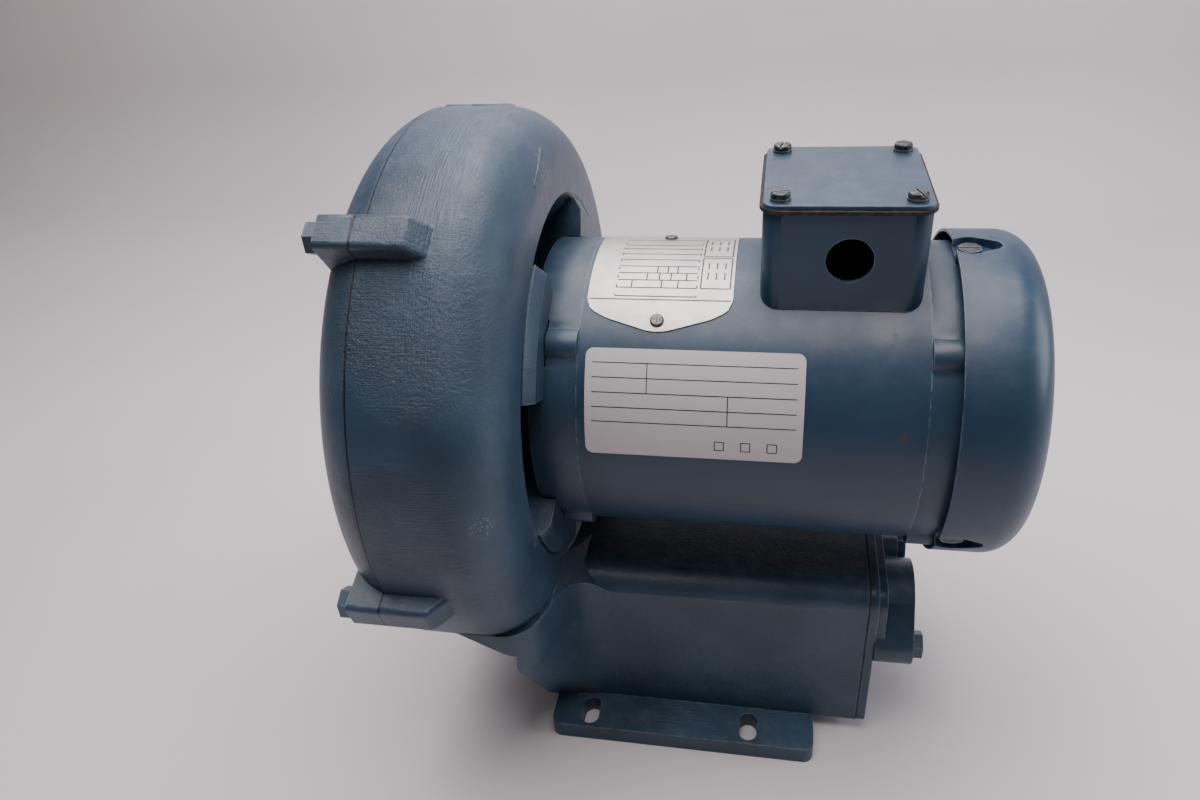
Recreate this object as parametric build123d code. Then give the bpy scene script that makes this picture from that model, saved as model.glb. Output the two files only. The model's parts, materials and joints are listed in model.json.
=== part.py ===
from build123d import *
import math
import os

# Regenerative (side-channel) blower with a fan-cooled motor.
# Millimetres, +Z up. The shaft lies along X: blower at -X, cooling fan at +X.
# The origin is the centre of the four foot slots, on the underside of the base.

# ---- driving dimensions ----
AXIS_H = 222.6              # shaft height above the base
FIT_GAP = 0.02              # radial gap of a running or sliding fit
HOLE_GAP = 0.3              # radial gap of a bolt in its clearance hole

# blower casing
PARTING_X = -130.4          # joint between cover and housing
HOUSING_DEPTH = 68.0
RIM_R = 155.0
SHOULDER_R = 33.0
RECESS_INSET = 47.0         # from the rim to the mouth of the conical recess
RECESS_TAPER = 22.0
WALL_INNER_X = -94.4        # face that the impeller runs against
WEB_T = 10.0
COVER_DEPTH = 25.8
COVER_CROWN_R = 36.0
COVER_WEB_T = 7.0
COVER_SPIGOT = 0.8          # how far the cover's land reaches into the housing
COVER_RIB_COUNT = 10
COVER_RIB_T = 4.0
HUB_POCKET_R = 22.0
HUB_DOME_R = 30.0
HUB_POCKET_DEPTH = 11.0
SEAL_BOSS_R = 30.0
SEAL_BOSS_L = 14.0
SEAL_R = 18.0
SEAL_L = 8.0

# side channel
CHANNEL_INSET = 34.0        # from the rim to the channel's mean radius
CHANNEL_HALF_H = 25.0
CHANNEL_COVER_W = 37.0
CHANNEL_HOUSING_W = 41.0
STRIPPER_HALF_ANGLE = 13.0
RUN_GAP = 0.6               # impeller to casing

# impeller
IMPELLER_X = -112.0
IMPELLER_INSET = 17.0       # from the rim to the impeller's tip
IMPELLER_HALF_W = 17.0
BLADE_L = 40.0
RING_T = 6.0
BLADE_COUNT = 36
BLADE_T = 2.6
BLADE_CORNER_R = 9.0
SPLITTER_T = 3.0
DISC_T = 8.0
HUB_R = 20.0
HUB_HALF_L = 12.0
KEY_W = 4.8
KEY_L = 18.0

# rim lugs and cover bolts
LUG_COUNT = 5
LUG_START = -90.0
LUG_W = 18.0
LUG_EDGE = 8.4              # metal round each cover bolt's centre
LUG_CORNER_R = 3.0
LUG_END_R = 5.0
LUG_COVER_L = 17.8
LUG_HOUSING_L = 25.0
LUG_TAPER_L = 14.0
LUG_BOLT_OUT = 1.4          # bolt circle beyond the rim
M10_SHANK_R = 4.76
M10_HEAD_AF = 14.3
M10_HEAD_H = 5.9
COVER_BOLT_L = 36.0
M8_SHANK_R = 3.97
M8_HEAD_AF = 13.0
M8_HEAD_H = 5.5
IMPELLER_WASHER_R = 14.0
IMPELLER_WASHER_T = 2.5
IMPELLER_BOLT_L = 20.0

# pedestal, silencer box and base
BOX_HALF_W = 62.0
BOX_BOTTOM = 11.6
BOX_TOP = 120.0
BOX_END_X = 117.2
BOX_EDGE_R = 14.0
BOX_WALL = 6.0
DIVIDER_T = 6.0
BASE_T = 12.1
BASE_X0 = -75.2
BASE_X1 = 91.4
BASE_HALF_W = 89.4
BASE_CORNER_R = 6.0
SLOT_DX = 101.6
SLOT_DY = 153.0
SLOT_W = 11.1
SLOT_L = 20.0
COVER_STEP = 0.4            # the cover's rim lies this much inside the housing's
DISH_INSET = 45.0
DISH_TAPER = 18.0
DOME_WALL = 6.0
PEDESTAL_TOP_Z = 128.0
PEDESTAL_WAIST_Z = 99.0     # below this the pedestal's sides lean in to the base
PEDESTAL_TOP_HALF = 123.0
PEDESTAL_FOOT_HALF = 66.0
PEDESTAL_TOP_X = -110.0
PEDESTAL_KNEE_X = -78.0
PEDESTAL_KNEE_Z = 111.0
PEDESTAL_FOOT_X = -81.0
FLARE_X0 = -88.0            # the sides sweep in from here to the silencer box
FLARE_L = 28.0
DUCT_Y0 = 31.0
DUCT_Y1 = 55.0
DUCT_X0 = -98.0
DUCT_X1 = -76.0
DUCT_Z0 = 62.0
DUCT_Z1 = 104.0
NECK_X0 = -80.0             # the neck from each duct into its chamber
NECK_Z0 = 40.0
NECK_Z1 = 70.0
CHAMBER_X0 = -50.0
CHAMBER_CORNER_R = 7.0

# silencer end: plate, gasket, port manifold
GASKET_T = 0.8
END_PLATE_T = 5.4
MANIFOLD_FLANGE_T = 5.0
MANIFOLD_L = 22.0
PORT_DY = 55.0
PORT_Z = 86.5
PORT_R = 19.5
PORT_BOSS_R = 25.0
CORNER_BOLT_DY = 105.2
CORNER_BOLT_Z = 74.5
CORNER_LUG_R = 12.0
TOP_SCREW_Z = 102.0
TOP_LUG_R = 9.0
TOP_LUG_L = 15.0
LOW_SCREW_Z = 40.0
M6_SHANK_R = 3.17
M6_HEAD_AF = 11.1
M6_HEAD_H = 4.2
SCREW_BOSS_WALL = 4.2
SCREW_BOSS_L = 26.0
CORNER_BOLT_REACH = 18.0    # thread held in the box's bosses
END_SCREW_REACH = 14.0
TUBE_R = 17.0
TUBE_T = 1.0
TUBE_L = 150.0
FOAM_R = 24.2
FOAM_L = 115.0
MANIFOLD_HALF_W = 60.0
MANIFOLD_Z0 = 64.0
MANIFOLD_Z1 = 117.0
MANIFOLD_CORNER_R = 12.0

# motor
SHELL_R = 82.55
SHELL_T = 3.0
SHELL_X0 = -40.8
SHELL_X1 = 131.2
BELL_STEP = 0.35            # the bells lie this much inside the shell
FRONT_WALL_X = -58.0        # inner face of the front bell's wall
STUD_BOSS_R = 6.9
STUD_BOSS_L = 8.0
MOUNT_FACE_X = -66.0        # the motor's face, seated on the blower's pads
CLAMP_FACE_X = -57.0        # face that the motor's own clamp nuts bear on
NOTCH_W = 25.0
NOTCH_DEPTH = 8.7           # below the studs' pitch circle
SPIGOT_R = 57.15
SPIGOT_L = 3.0
PAD_H = 22.8                # how far the pads reach out past the motor
PAD_FACE_X = -57.6
PAD_CHAMFER_X = 4.5
PAD_CHAMFER_R = 7.0
PAD_HALF_ANGLE = 20.0
PAD_GAP = 0.8               # radial gap between the pads' rims and the motor
STUD_ANGLE = 43.5
STUD_INSET = 7.35           # from the shell to the studs' pitch circle
STUD_NUT_H = 5.4
STUD_SOCKET_R = 8.0
NUT_SINK = 2.5              # how far the mount nuts lie under the impeller's wall
EAR_OUT = 2.3
EAR_R = 9.0
REAR_BELL_X = 149.0
REAR_TAB_X = 158.0
REAR_TAB_W = 16.0
TAB_STEP = 0.05
BELL_WALL = 5.0
BRG_BOSS_WALL = 7.0
RIM_INSERT = 4.0            # how far each bell's rim reaches into the shell
RIM_T = 3.5
STATOR_X0 = -5.0
STATOR_L = 100.0
STATOR_BORE_R = 45.0
AIR_GAP = 0.4
WINDING_OVERHANG = 24.0
WINDING_IN_R = 50.0
WINDING_INSET = 8.55
END_RING_L = 8.0
END_RING_IN_R = 28.0
LEAD_HOLE_R = 14.0

# shaft and bearings
SHAFT_NOSE_R = 7.94
SHAFT_STEP_R = 9.5
SHAFT_BODY_R = 15.0
SHAFT_TAIL_R = 7.0
SHAFT_END_X = 172.0
FRONT_BRG_X = -57.0
FRONT_BRG_BORE_R = 12.5
FRONT_BRG_R = 26.0
FRONT_BRG_W = 15.0
FRONT_BALL_R = 3.97
FRONT_BALL_COUNT = 9
REAR_BRG_X = 134.0
REAR_BRG_BORE_R = 8.5
REAR_BRG_R = 20.0
REAR_BRG_W = 12.0
REAR_BALL_R = 3.2
REAR_BALL_COUNT = 8
BALL_GAP = 0.03
CAGE_T = 1.4
CAGE_GAP = 0.12
CAGE_EDGE = 0.9             # cage width beyond each side of the balls
WAVE_WASHER_T = 1.5

# cooling fan and its cover
FAN_X = 159.0
FAN_PLATE_T = 2.2
FAN_CLEARANCE = 14.6        # fan to its cover
FAN_HUB_R = 13.0
FAN_HUB_L = 11.0
CLIP_T = 1.0
FAN_BLADE_L = 18.0
FAN_BLADE_T = 2.4
FAN_BLADE_IN_R = 26.0
FAN_BLADE_COUNT = 9
FAN_COVER_X0 = 144.5
FAN_COVER_X1 = 188.0
FAN_COVER_STEP = 6.4
FAN_COVER_FILLET = 19.0
FAN_COVER_T = 1.5
FAN_COVER_SEAT = 0.2        # gap between the dimples and the bell's tabs
FAN_SCREW_X = 152.0
FAN_SCREW_ANGLES = (88.0, -32.0, 208.0)
FAN_SCREW_SHANK_R = 2.4
FAN_SCREW_HEAD_R = 5.6
FAN_SCREW_HEAD_H = 2.8
DIMPLE_R = 9.5
DIMPLE_L = 20.0
GRILLE_RINGS = ((18.0, 26.0), (31.0, 39.0), (44.0, 52.0))
GRILLE_SPOKES = 6
GRILLE_SPOKE_W = 6.0

# junction box
JB_X0 = 49.1
JB_L = 78.1
JB_HALF_W = 43.5
JB_H = 37.45                # box top above the shell's top
JB_WALL = 1.9
JB_CORNER_R = 9.0
JB_GASKET_T = 1.8
JB_GASKET_LIP = 1.6
JB_GASKET_W = 5.0
JB_COVER_T = 2.3
JB_COVER_CORNER_R = 6.0
JB_SCREW_INSET = 8.1
CONDUIT_X = 90.7
CONDUIT_BELOW_TOP = 23.1
CONDUIT_R = 11.1
JB_POST_R = 7.0
JB_POST_L = 10.0
JB_BOTTOM_CORNER_R = 6.0
JB_SKIRT = 11.95            # the box's sides reach this far below the shell's top
M5_SHANK_R = 2.4
M5_HEAD_R = 4.7
M5_HEAD_H = 3.0
LOCK_WASHER_R = 5.0
LOCK_WASHER_T = 1.2
SLOT_W_SMALL = 1.2
SLOT_DEPTH_SMALL = 1.3
COVER_SCREW_L = 12.0
GROUND_SCREW_L = 6.0
MOUNT_SCREW_DX = 26.0
GROUND_DX = 19.0
GROUND_DY = -22.0
GROUND_POST_R = 5.5
GROUND_POST_H = 5.85        # above the shell's top
GROMMET_T = 3.5
GROMMET_FLANGE = 3.0
GROMMET_FLANGE_T = 2.95

# nameplate and label
PLATE_X0 = -38.5
PLATE_L = 74.5
PLATE_T = 0.5
BED_T = 0.3                 # paint and adhesive under the plate and the label
PLATE_TOP_ANGLE = 105.0
PLATE_SIDE_ANGLE = 58.5
PLATE_APEX_ANGLE = 48.6
PLATE_APEX_W = 8.0
PLATE_LOW_ANGLE = 54.1
PLATE_LOW_INSET = 7.3
RIVET_LOW_ANGLE = 52.6
RIVET_TOP_ANGLE = 102.0
RIVET_R = 3.6
RIVET_SHANK_R = 1.6
RIVET_H = 1.4
LABEL_X0 = -36.2
LABEL_L = 109.1
LABEL_T = 0.2
LABEL_ANGLE_0 = 3.8
LABEL_ANGLE_1 = 42.4
LABEL_CORNER_R = 4.0

# ---- derived places ----
REAR_X = PARTING_X + HOUSING_DEPTH
RECESS_R = RIM_R - RECESS_INSET
RECESS_FLOOR_R = RECESS_R - RECESS_TAPER
CHANNEL_R = RIM_R - CHANNEL_INSET
IMPELLER_R = RIM_R - IMPELLER_INSET
RING_R = IMPELLER_R - BLADE_L
RING_BORE_R = RING_R - RING_T
DISH_OUT_R = RIM_R - DISH_INSET
DISH_IN_R = DISH_OUT_R - DISH_TAPER
BELL_R = SHELL_R - BELL_STEP
STUD_R = SHELL_R - STUD_INSET
NOTCH_FLOOR_R = STUD_R - NOTCH_DEPTH
EAR_PITCH_R = STUD_R + EAR_OUT
PAD_R = BELL_R + PAD_H
FAN_COVER_R = BELL_R + FAN_COVER_STEP
FAN_R = FAN_COVER_R - FAN_CLEARANCE
LUG_BOLT_R = RIM_R + LUG_BOLT_OUT
LUG_TOP_R = LUG_BOLT_R + LUG_EDGE
WEB_REAR_X = WALL_INNER_X + WEB_T
COVER_FRONT_X = PARTING_X - COVER_DEPTH
COVER_LAND_X = PARTING_X + COVER_SPIGOT
COVER_WEB_FRONT_X = COVER_LAND_X - COVER_WEB_T
CAVITY_R = IMPELLER_R + RUN_GAP
LUG_HOLE_R = M10_SHANK_R + HOLE_GAP
STUD_SHANK_R = M6_SHANK_R
STUD_HOLE_R = STUD_SHANK_R + HOLE_GAP
SHELL_IN_R = SHELL_R - SHELL_T
WINDING_OUT_R = SHELL_IN_R - WINDING_INSET
GASKET_X = BOX_END_X + GASKET_T
PLATE_FACE_X = GASKET_X + END_PLATE_T
MANIFOLD_FACE_X = PLATE_FACE_X + MANIFOLD_L
PORT_Y = PORT_DY / 2
HUB_REAR_X = IMPELLER_X + HUB_HALF_L
HUB_FRONT_X = IMPELLER_X - HUB_HALF_L
SHAFT_NOSE_X = HUB_FRONT_X + 1.0
JB_X1 = JB_X0 + JB_L
JB_MID_X = JB_X0 + JB_L / 2
SHELL_TOP = AXIS_H + SHELL_R
FLOOR_TOP = SHELL_TOP + JB_WALL
JB_TOP = SHELL_TOP + JB_H
JB_BOTTOM_Z = SHELL_TOP - JB_SKIRT
CONDUIT_Z = JB_TOP - CONDUIT_BELOW_TOP
GROUND_POST_TOP = SHELL_TOP + GROUND_POST_H
JB_GASKET_TOP = JB_TOP + JB_GASKET_T
JB_COVER_TOP = JB_GASKET_TOP + JB_COVER_T
PLATE_TOP_R = SHELL_R + BED_T + PLATE_T
EXPORTED = []


# ---- helpers ----
def raised(shape):
    """Moves a shape built about the X axis up to the shaft's height."""
    return Location((0, 0, AXIS_H)) * shape


def turned(points, arc=360.0):
    """Revolves a closed (x, radius) outline about the X axis."""
    outline = Plane.XZ * Polyline(*points, close=True)
    return revolve(make_face(outline), axis=Axis.X, revolution_arc=arc)


def tube(x0, x1, r_out, r_in=0.0):
    """A round bar or tube along X."""
    return turned([(x0, r_in), (x1, r_in), (x1, r_out), (x0, r_out)])


def rod_x(x0, x1, radius, y=0.0, z=0.0):
    """A round bar along X, centred on (y, z)."""
    return Location(((x0 + x1) / 2, y, z), (0, 90, 0)) * Cylinder(radius, x1 - x0)


def box_at(x0, x1, y0, y1, z0, z1):
    """A block between two opposite corners."""
    return Location(((x0 + x1) / 2, (y0 + y1) / 2, (z0 + z1) / 2)) * Box(x1 - x0, y1 - y0, z1 - z0)


def spun(shape, angle):
    """Turns a shape that stands at +Z to the given angle, from the -Y side up over the top."""
    return Rot(90.0 - angle, 0, 0) * shape


def hex_bar(x0, x1, across_flats, y=0.0, z=0.0):
    """A hexagonal bar along X."""
    profile = RegularPolygon(across_flats / math.sqrt(3), 6)
    return Location((x0, y, z), (0, 90, 0)) * extrude(profile, x1 - x0)


def polar(radius, angle):
    """(y, z) of a point about the shaft at an angle from the -Y side up over the top."""
    turn = math.radians(angle)
    return -radius * math.cos(turn), radius * math.sin(turn)


def lug_angles():
    return [LUG_START + 360.0 / LUG_COUNT * i for i in range(LUG_COUNT)]


def stud_angles():
    return [STUD_ANGLE, 180.0 - STUD_ANGLE, 180.0 + STUD_ANGLE, 360.0 - STUD_ANGLE]


def save(name, shape):
    solids = shape.solids()
    whole = solids[0] if len(solids) == 1 else Compound(children=list(solids))
    whole.label = name
    export_step(whole, f"parts/{name}.step")
    EXPORTED.append(name)


# ---- blower casing ----
def channel_ring(half_width, towards):
    """Half of the side channel's ring, an elliptical section on one side of the impeller."""
    section = Ellipse(half_width, CHANNEL_HALF_H)
    keep = Location((towards * half_width, 0)) * Rectangle(2 * half_width, 3 * CHANNEL_HALF_H)
    half = Plane.XZ * Location((IMPELLER_X, CHANNEL_R)) * (section & keep)
    sweep = 360.0 - 2 * STRIPPER_HALF_ANGLE
    ring = revolve(half, axis=Axis.X, revolution_arc=sweep)
    # the revolve starts at +Z: turn it so that the gap is centred on the bottom
    return Rot(180.0 + STRIPPER_HALF_ANGLE, 0, 0) * ring


def rim_lug(x0, x1, taper_to, root):
    """One rim lug at +Z, from x0 to x1, falling back to the root radius at taper_to."""
    top = LUG_TOP_R
    outline = Plane.XZ * Polyline((x0, root), (x0, top), (x1, top), (taper_to, root), close=True)
    lug = extrude(make_face(outline), LUG_W / 2, both=True)
    if taper_to > x1:
        lug = fillet(lug.edges().filter_by(Axis.Y).group_by(Axis.Z)[-1].sort_by(Axis.X)[-1:], LUG_END_R)
    long_edges = lug.edges().filter_by(Axis.X).sort_by(Axis.Z)[-2:]
    return fillet(long_edges, LUG_CORNER_R)


def pedestal_plan(z, half):
    """The pedestal's outline at a height: straight sides that sweep in to the box's width."""
    end_x = REAR_X + FLARE_L
    near = Spline((FLARE_X0, -half), (end_x, -BOX_HALF_W), tangents=((1, 0), (1, 0)))
    far = Spline((end_x, BOX_HALF_W), (FLARE_X0, half), tangents=((-1, 0), (-1, 0)))
    lines = [
        Line((PEDESTAL_TOP_X, -half), (FLARE_X0, -half)),
        near,
        Line((end_x, -BOX_HALF_W), (end_x, BOX_HALF_W)),
        far,
        Line((FLARE_X0, half), (PEDESTAL_TOP_X, half)),
        Line((PEDESTAL_TOP_X, half), (PEDESTAL_TOP_X, -half)),
    ]
    return Location((0, 0, z)) * make_face(Wire(lines))


def pedestal():
    """The leg that carries the round housing, blended into the silencer box behind it."""
    block = loft([
        pedestal_plan(BOX_BOTTOM, PEDESTAL_FOOT_HALF),
        pedestal_plan(PEDESTAL_WAIST_Z, PEDESTAL_TOP_HALF),
        pedestal_plan(PEDESTAL_TOP_Z, PEDESTAL_TOP_HALF),
    ], ruled=True)
    side = Plane.XZ * Polyline(
        (PEDESTAL_TOP_X, PEDESTAL_TOP_Z),
        (PEDESTAL_KNEE_X, PEDESTAL_KNEE_Z),
        (PEDESTAL_FOOT_X, BOX_BOTTOM),
        (REAR_X + FLARE_L, BOX_BOTTOM),
        (REAR_X + FLARE_L, BOX_TOP - BOX_EDGE_R),
        (REAR_X, PEDESTAL_TOP_Z),
        close=True,
    )
    return block & extrude(make_face(side), PEDESTAL_TOP_HALF + 1, both=True)


def base_plate():
    """The mounting base with its four slotted holes."""
    plate = box_at(BASE_X0, BASE_X1, -BASE_HALF_W, BASE_HALF_W, 0, BASE_T)
    plate = fillet(plate.edges().filter_by(Axis.Z), BASE_CORNER_R)
    for sx in (-1, 1):
        for sy in (-1, 1):
            slot = extrude(SlotOverall(SLOT_L, SLOT_W, rotation=90), BASE_T)
            plate -= Location((sx * SLOT_DX / 2, sy * SLOT_DY / 2, 0)) * slot
    return plate


def silencer_box():
    """The closed box along the base, before its two chambers are cut."""
    body = box_at(REAR_X, BOX_END_X, -BOX_HALF_W, BOX_HALF_W, BOX_BOTTOM, BOX_TOP)
    return fillet(body.edges().filter_by(Axis.X).sort_by(Axis.Z)[-2:], BOX_EDGE_R)


def manifold_holes():
    """(y, z, thread radius, head face x) of each fastener in the silencer's end."""
    half = CORNER_BOLT_DY / 2
    return [
        (-half, CORNER_BOLT_Z, M10_SHANK_R, MANIFOLD_FACE_X),
        (half, CORNER_BOLT_Z, M10_SHANK_R, MANIFOLD_FACE_X),
        (0, TOP_SCREW_Z, M6_SHANK_R, PLATE_FACE_X + TOP_LUG_L),
        (0, LOW_SCREW_Z, M6_SHANK_R, PLATE_FACE_X),
    ]


def chambers():
    """The two silencer chambers and the ducts that join them to the side channel."""
    cut = None
    for side in (-1, 1):
        y_in = side * DIVIDER_T / 2
        y_out = side * (BOX_HALF_W - BOX_WALL)
        low, high = sorted((y_in, y_out))
        room = box_at(CHAMBER_X0, BOX_END_X + 1, low, high, BASE_T + BOX_WALL, BOX_TOP - BOX_WALL)
        room = fillet(room.edges().filter_by(Axis.X), CHAMBER_CORNER_R)
        low, high = sorted((side * DUCT_Y0, side * DUCT_Y1))
        neck = box_at(NECK_X0, CHAMBER_X0 + 1, low, high, NECK_Z0, NECK_Z1)
        well = box_at(DUCT_X0, DUCT_X1, low, high, DUCT_Z0, DUCT_Z1)
        piece = room + neck + well
        cut = piece if cut is None else cut + piece
    for y, z, radius, _ in manifold_holes():
        cut -= rod_x(BOX_END_X - SCREW_BOSS_L, BOX_END_X + 2, radius + SCREW_BOSS_WALL, y, z)
    return cut


def motor_pads():
    """Four curved pads in the recess: an inner seat for the motor and a rim that stands round it."""
    seat_r = BELL_R + PAD_GAP
    register_r = SPIGOT_R + HOLE_GAP / 3
    pads = None
    for angle in stud_angles():
        ring = turned([
            (WEB_REAR_X - 1, register_r),
            (MOUNT_FACE_X, register_r),
            (MOUNT_FACE_X, seat_r),
            (PAD_FACE_X, seat_r),
            (PAD_FACE_X, PAD_R - PAD_CHAMFER_R),
            (PAD_FACE_X - PAD_CHAMFER_X, PAD_R),
            (WEB_REAR_X - 1, PAD_R),
        ], 2 * PAD_HALF_ANGLE)
        pad = spun(Rot(-PAD_HALF_ANGLE, 0, 0) * ring, angle)
        pads = pad if pads is None else pads + pad
    return pads


def blower_housing():
    """The main casting: round rear half with its channel, pedestal, silencer box and base."""
    shell = turned([
        (PARTING_X, SEAL_R - 4),
        (PARTING_X, RIM_R),
        (REAR_X, RIM_R),
        (REAR_X, RECESS_R),
        (WEB_REAR_X, RECESS_FLOOR_R),
        (WEB_REAR_X, SEAL_BOSS_R),
        (WEB_REAR_X + SEAL_BOSS_L, SEAL_BOSS_R - 2),
        (WEB_REAR_X + SEAL_BOSS_L, SEAL_R - 4),
    ])
    rear_edges = shell.edges().filter_by(GeomType.CIRCLE).filter_by(lambda e: e.center().X > PARTING_X + 1)
    shell = fillet(rear_edges.sort_by(lambda e: e.radius)[-1:], SHOULDER_R)
    casting = raised(shell)
    casting += pedestal() + silencer_box() + base_plate()
    # the recess stays open above the silencer box
    recess = raised(turned([
        (REAR_X + FLARE_L, 0),
        (REAR_X + FLARE_L, RECESS_R - 6),
        (REAR_X, RECESS_R),
        (WEB_REAR_X, RECESS_FLOOR_R),
        (WEB_REAR_X, SEAL_BOSS_R),
        (WEB_REAR_X + SEAL_BOSS_L, SEAL_BOSS_R - 2),
        (WEB_REAR_X + SEAL_BOSS_L, 0),
    ]))
    casting -= recess
    lug_end = PARTING_X + LUG_HOUSING_L
    lug = rim_lug(PARTING_X, lug_end, lug_end + LUG_TAPER_L, RIM_R - 5)
    for angle in lug_angles():
        casting += raised(spun(lug, angle))
    casting += raised(motor_pads())
    # impeller chamber, channel and ducts
    cavity = tube(PARTING_X - 1, WALL_INNER_X, CAVITY_R)
    channel = channel_ring(CHANNEL_COVER_W, -1) + channel_ring(CHANNEL_HOUSING_W, 1)
    casting -= raised(cavity)
    casting -= raised(channel & tube(PARTING_X, REAR_X, RIM_R))
    casting -= chambers()
    # seal bore, register for the motor spigot, stud holes and bolt holes
    casting -= raised(tube(WEB_REAR_X + SEAL_BOSS_L - SEAL_L, WEB_REAR_X + SEAL_BOSS_L, SEAL_R))
    nut_x = WALL_INNER_X + NUT_SINK
    for angle in stud_angles():
        y, z = polar(STUD_R, angle)
        casting -= raised(rod_x(WALL_INNER_X - 1, MOUNT_FACE_X + 1, STUD_HOLE_R, y, z))
        casting -= raised(rod_x(WALL_INNER_X - 1, nut_x + STUD_NUT_H, STUD_SOCKET_R, y, z))
    for angle in lug_angles():
        y, z = polar(LUG_BOLT_R, angle)
        casting -= raised(rod_x(PARTING_X, PARTING_X + COVER_BOLT_L - LUG_COVER_L + 2, M10_SHANK_R, y, z))
    for y, z, radius, _ in manifold_holes():
        casting -= rod_x(BOX_END_X - SCREW_BOSS_L + 4, BOX_END_X + 1, radius, y, z)
    return casting


def blower_cover():
    """The front cover: a crowned ring over the channel round a dished, ribbed centre."""
    centre_x = COVER_FRONT_X + COVER_CROWN_R
    rise = math.sqrt(COVER_CROWN_R**2 - (centre_x - PARTING_X) ** 2)
    rim_r = RIM_R - COVER_STEP
    centre_r = rim_r - rise
    start = math.atan2(rise, PARTING_X - centre_x)
    middle = (start + math.pi) / 2
    dome_x = COVER_LAND_X - HUB_POCKET_DEPTH - DOME_WALL
    crown = ThreePointArc(
        (PARTING_X, rim_r),
        (centre_x + COVER_CROWN_R * math.cos(middle), centre_r + COVER_CROWN_R * math.sin(middle)),
        (COVER_FRONT_X, centre_r),
    )
    rest = Polyline(
        (COVER_FRONT_X, centre_r),
        (COVER_FRONT_X, DISH_OUT_R),
        (COVER_WEB_FRONT_X, DISH_IN_R),
        (COVER_WEB_FRONT_X, HUB_DOME_R),
        (dome_x, HUB_DOME_R - 4),
        (dome_x, 0),
        (COVER_LAND_X, 0),
        (COVER_LAND_X, RING_R - 1),
        (PARTING_X, RING_R - 1),
        (PARTING_X, rim_r),
    )
    cover = revolve(make_face(Plane.XZ * (crown + rest)), axis=Axis.X)
    rib = Plane.XZ * Polyline(
        (COVER_WEB_FRONT_X + 1, HUB_DOME_R - 4),
        (dome_x + 3, HUB_DOME_R - 4),
        (COVER_FRONT_X + 3, DISH_OUT_R - 2),
        (COVER_WEB_FRONT_X + 1, DISH_OUT_R - 8),
        close=True,
    )
    rib = extrude(make_face(rib), COVER_RIB_T / 2, both=True)
    for i in range(COVER_RIB_COUNT):
        cover += Rot(360.0 / COVER_RIB_COUNT * i, 0, 0) * rib
    lug = rim_lug(PARTING_X - LUG_COVER_L, PARTING_X, PARTING_X, CHANNEL_R + CHANNEL_HALF_H / 2)
    for angle in lug_angles():
        cover += spun(lug, angle)
    channel = channel_ring(CHANNEL_COVER_W, -1)
    cover -= channel & tube(COVER_FRONT_X, PARTING_X + 1, RIM_R)
    cover -= tube(COVER_LAND_X - HUB_POCKET_DEPTH, COVER_LAND_X + 1, HUB_POCKET_R)
    for angle in lug_angles():
        y, z = polar(LUG_BOLT_R, angle)
        cover -= rod_x(PARTING_X - LUG_COVER_L - 1, PARTING_X + 1, LUG_HOLE_R, y, z)
    return raised(cover)


def cover_bolts():
    """The hexagon bolts that clamp the cover to the housing."""
    bolts = []
    head_x = PARTING_X - LUG_COVER_L
    for angle in lug_angles():
        y, z = polar(LUG_BOLT_R, angle)
        head = hex_bar(head_x - M10_HEAD_H, head_x, M10_HEAD_AF, y, z)
        bolts.append(raised(head + rod_x(head_x, head_x + COVER_BOLT_L, M10_SHANK_R, y, z)))
    return Compound(children=bolts)


# ---- impeller ----
def impeller():
    """The bladed wheel: hub, disc and a ring of radial blades either side of a splitter."""
    half_w = IMPELLER_HALF_W
    tip = IMPELLER_R - 1.0
    split = SPLITTER_T / 2
    sag = (half_w - split) * 0.62
    sag_r = (RING_R + tip) / 2 - 6
    left = ThreePointArc(
        (IMPELLER_X - half_w, RING_R),
        (IMPELLER_X - half_w + sag, sag_r),
        (IMPELLER_X - split, tip),
    )
    right = ThreePointArc(
        (IMPELLER_X + split, tip),
        (IMPELLER_X + half_w - sag, sag_r),
        (IMPELLER_X + half_w, RING_R),
    )
    top = Line((IMPELLER_X - split, tip), (IMPELLER_X + split, tip))
    below = Polyline(
        (IMPELLER_X + half_w, RING_R),
        (IMPELLER_X + half_w, RING_BORE_R),
        (IMPELLER_X + DISC_T / 2, RING_BORE_R - 4),
        (IMPELLER_X + DISC_T / 2, HUB_R),
        (IMPELLER_X + HUB_HALF_L, HUB_R),
        (IMPELLER_X + HUB_HALF_L, SHAFT_NOSE_R),
        (IMPELLER_X - HUB_HALF_L, SHAFT_NOSE_R),
        (IMPELLER_X - HUB_HALF_L, HUB_R),
        (IMPELLER_X - DISC_T / 2, HUB_R),
        (IMPELLER_X - DISC_T / 2, RING_BORE_R - 4),
        (IMPELLER_X - half_w, RING_BORE_R),
        (IMPELLER_X - half_w, RING_R),
    )
    wheel = revolve(make_face(Plane.XZ * (left + top + right + below)), axis=Axis.X)
    outline = Plane.XZ * Location((IMPELLER_X, (RING_R + IMPELLER_R) / 2 - 1)) * Rectangle(
        2 * half_w, IMPELLER_R - RING_R + 2
    )
    blade = extrude(outline, BLADE_T / 2, both=True)
    blade = fillet(blade.edges().filter_by(Axis.Y).sort_by(Axis.Z)[-2:], BLADE_CORNER_R)
    blades = [Rot(360.0 / BLADE_COUNT * i, 0, 0) * blade for i in range(BLADE_COUNT)]
    wheel += blades
    keyway_top = SHAFT_NOSE_R + KEY_W / 2
    wheel -= box_at(HUB_FRONT_X - 1, HUB_REAR_X + 1, -KEY_W / 2, KEY_W / 2, 0, keyway_top)
    return raised(wheel)


def impeller_key():
    """The square key between the shaft and the impeller's hub."""
    bottom = SHAFT_NOSE_R - KEY_W / 2
    x0 = IMPELLER_X - KEY_L / 2
    return raised(box_at(x0, x0 + KEY_L, -KEY_W / 2, KEY_W / 2, bottom, bottom + KEY_W - 0.05))


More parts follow.
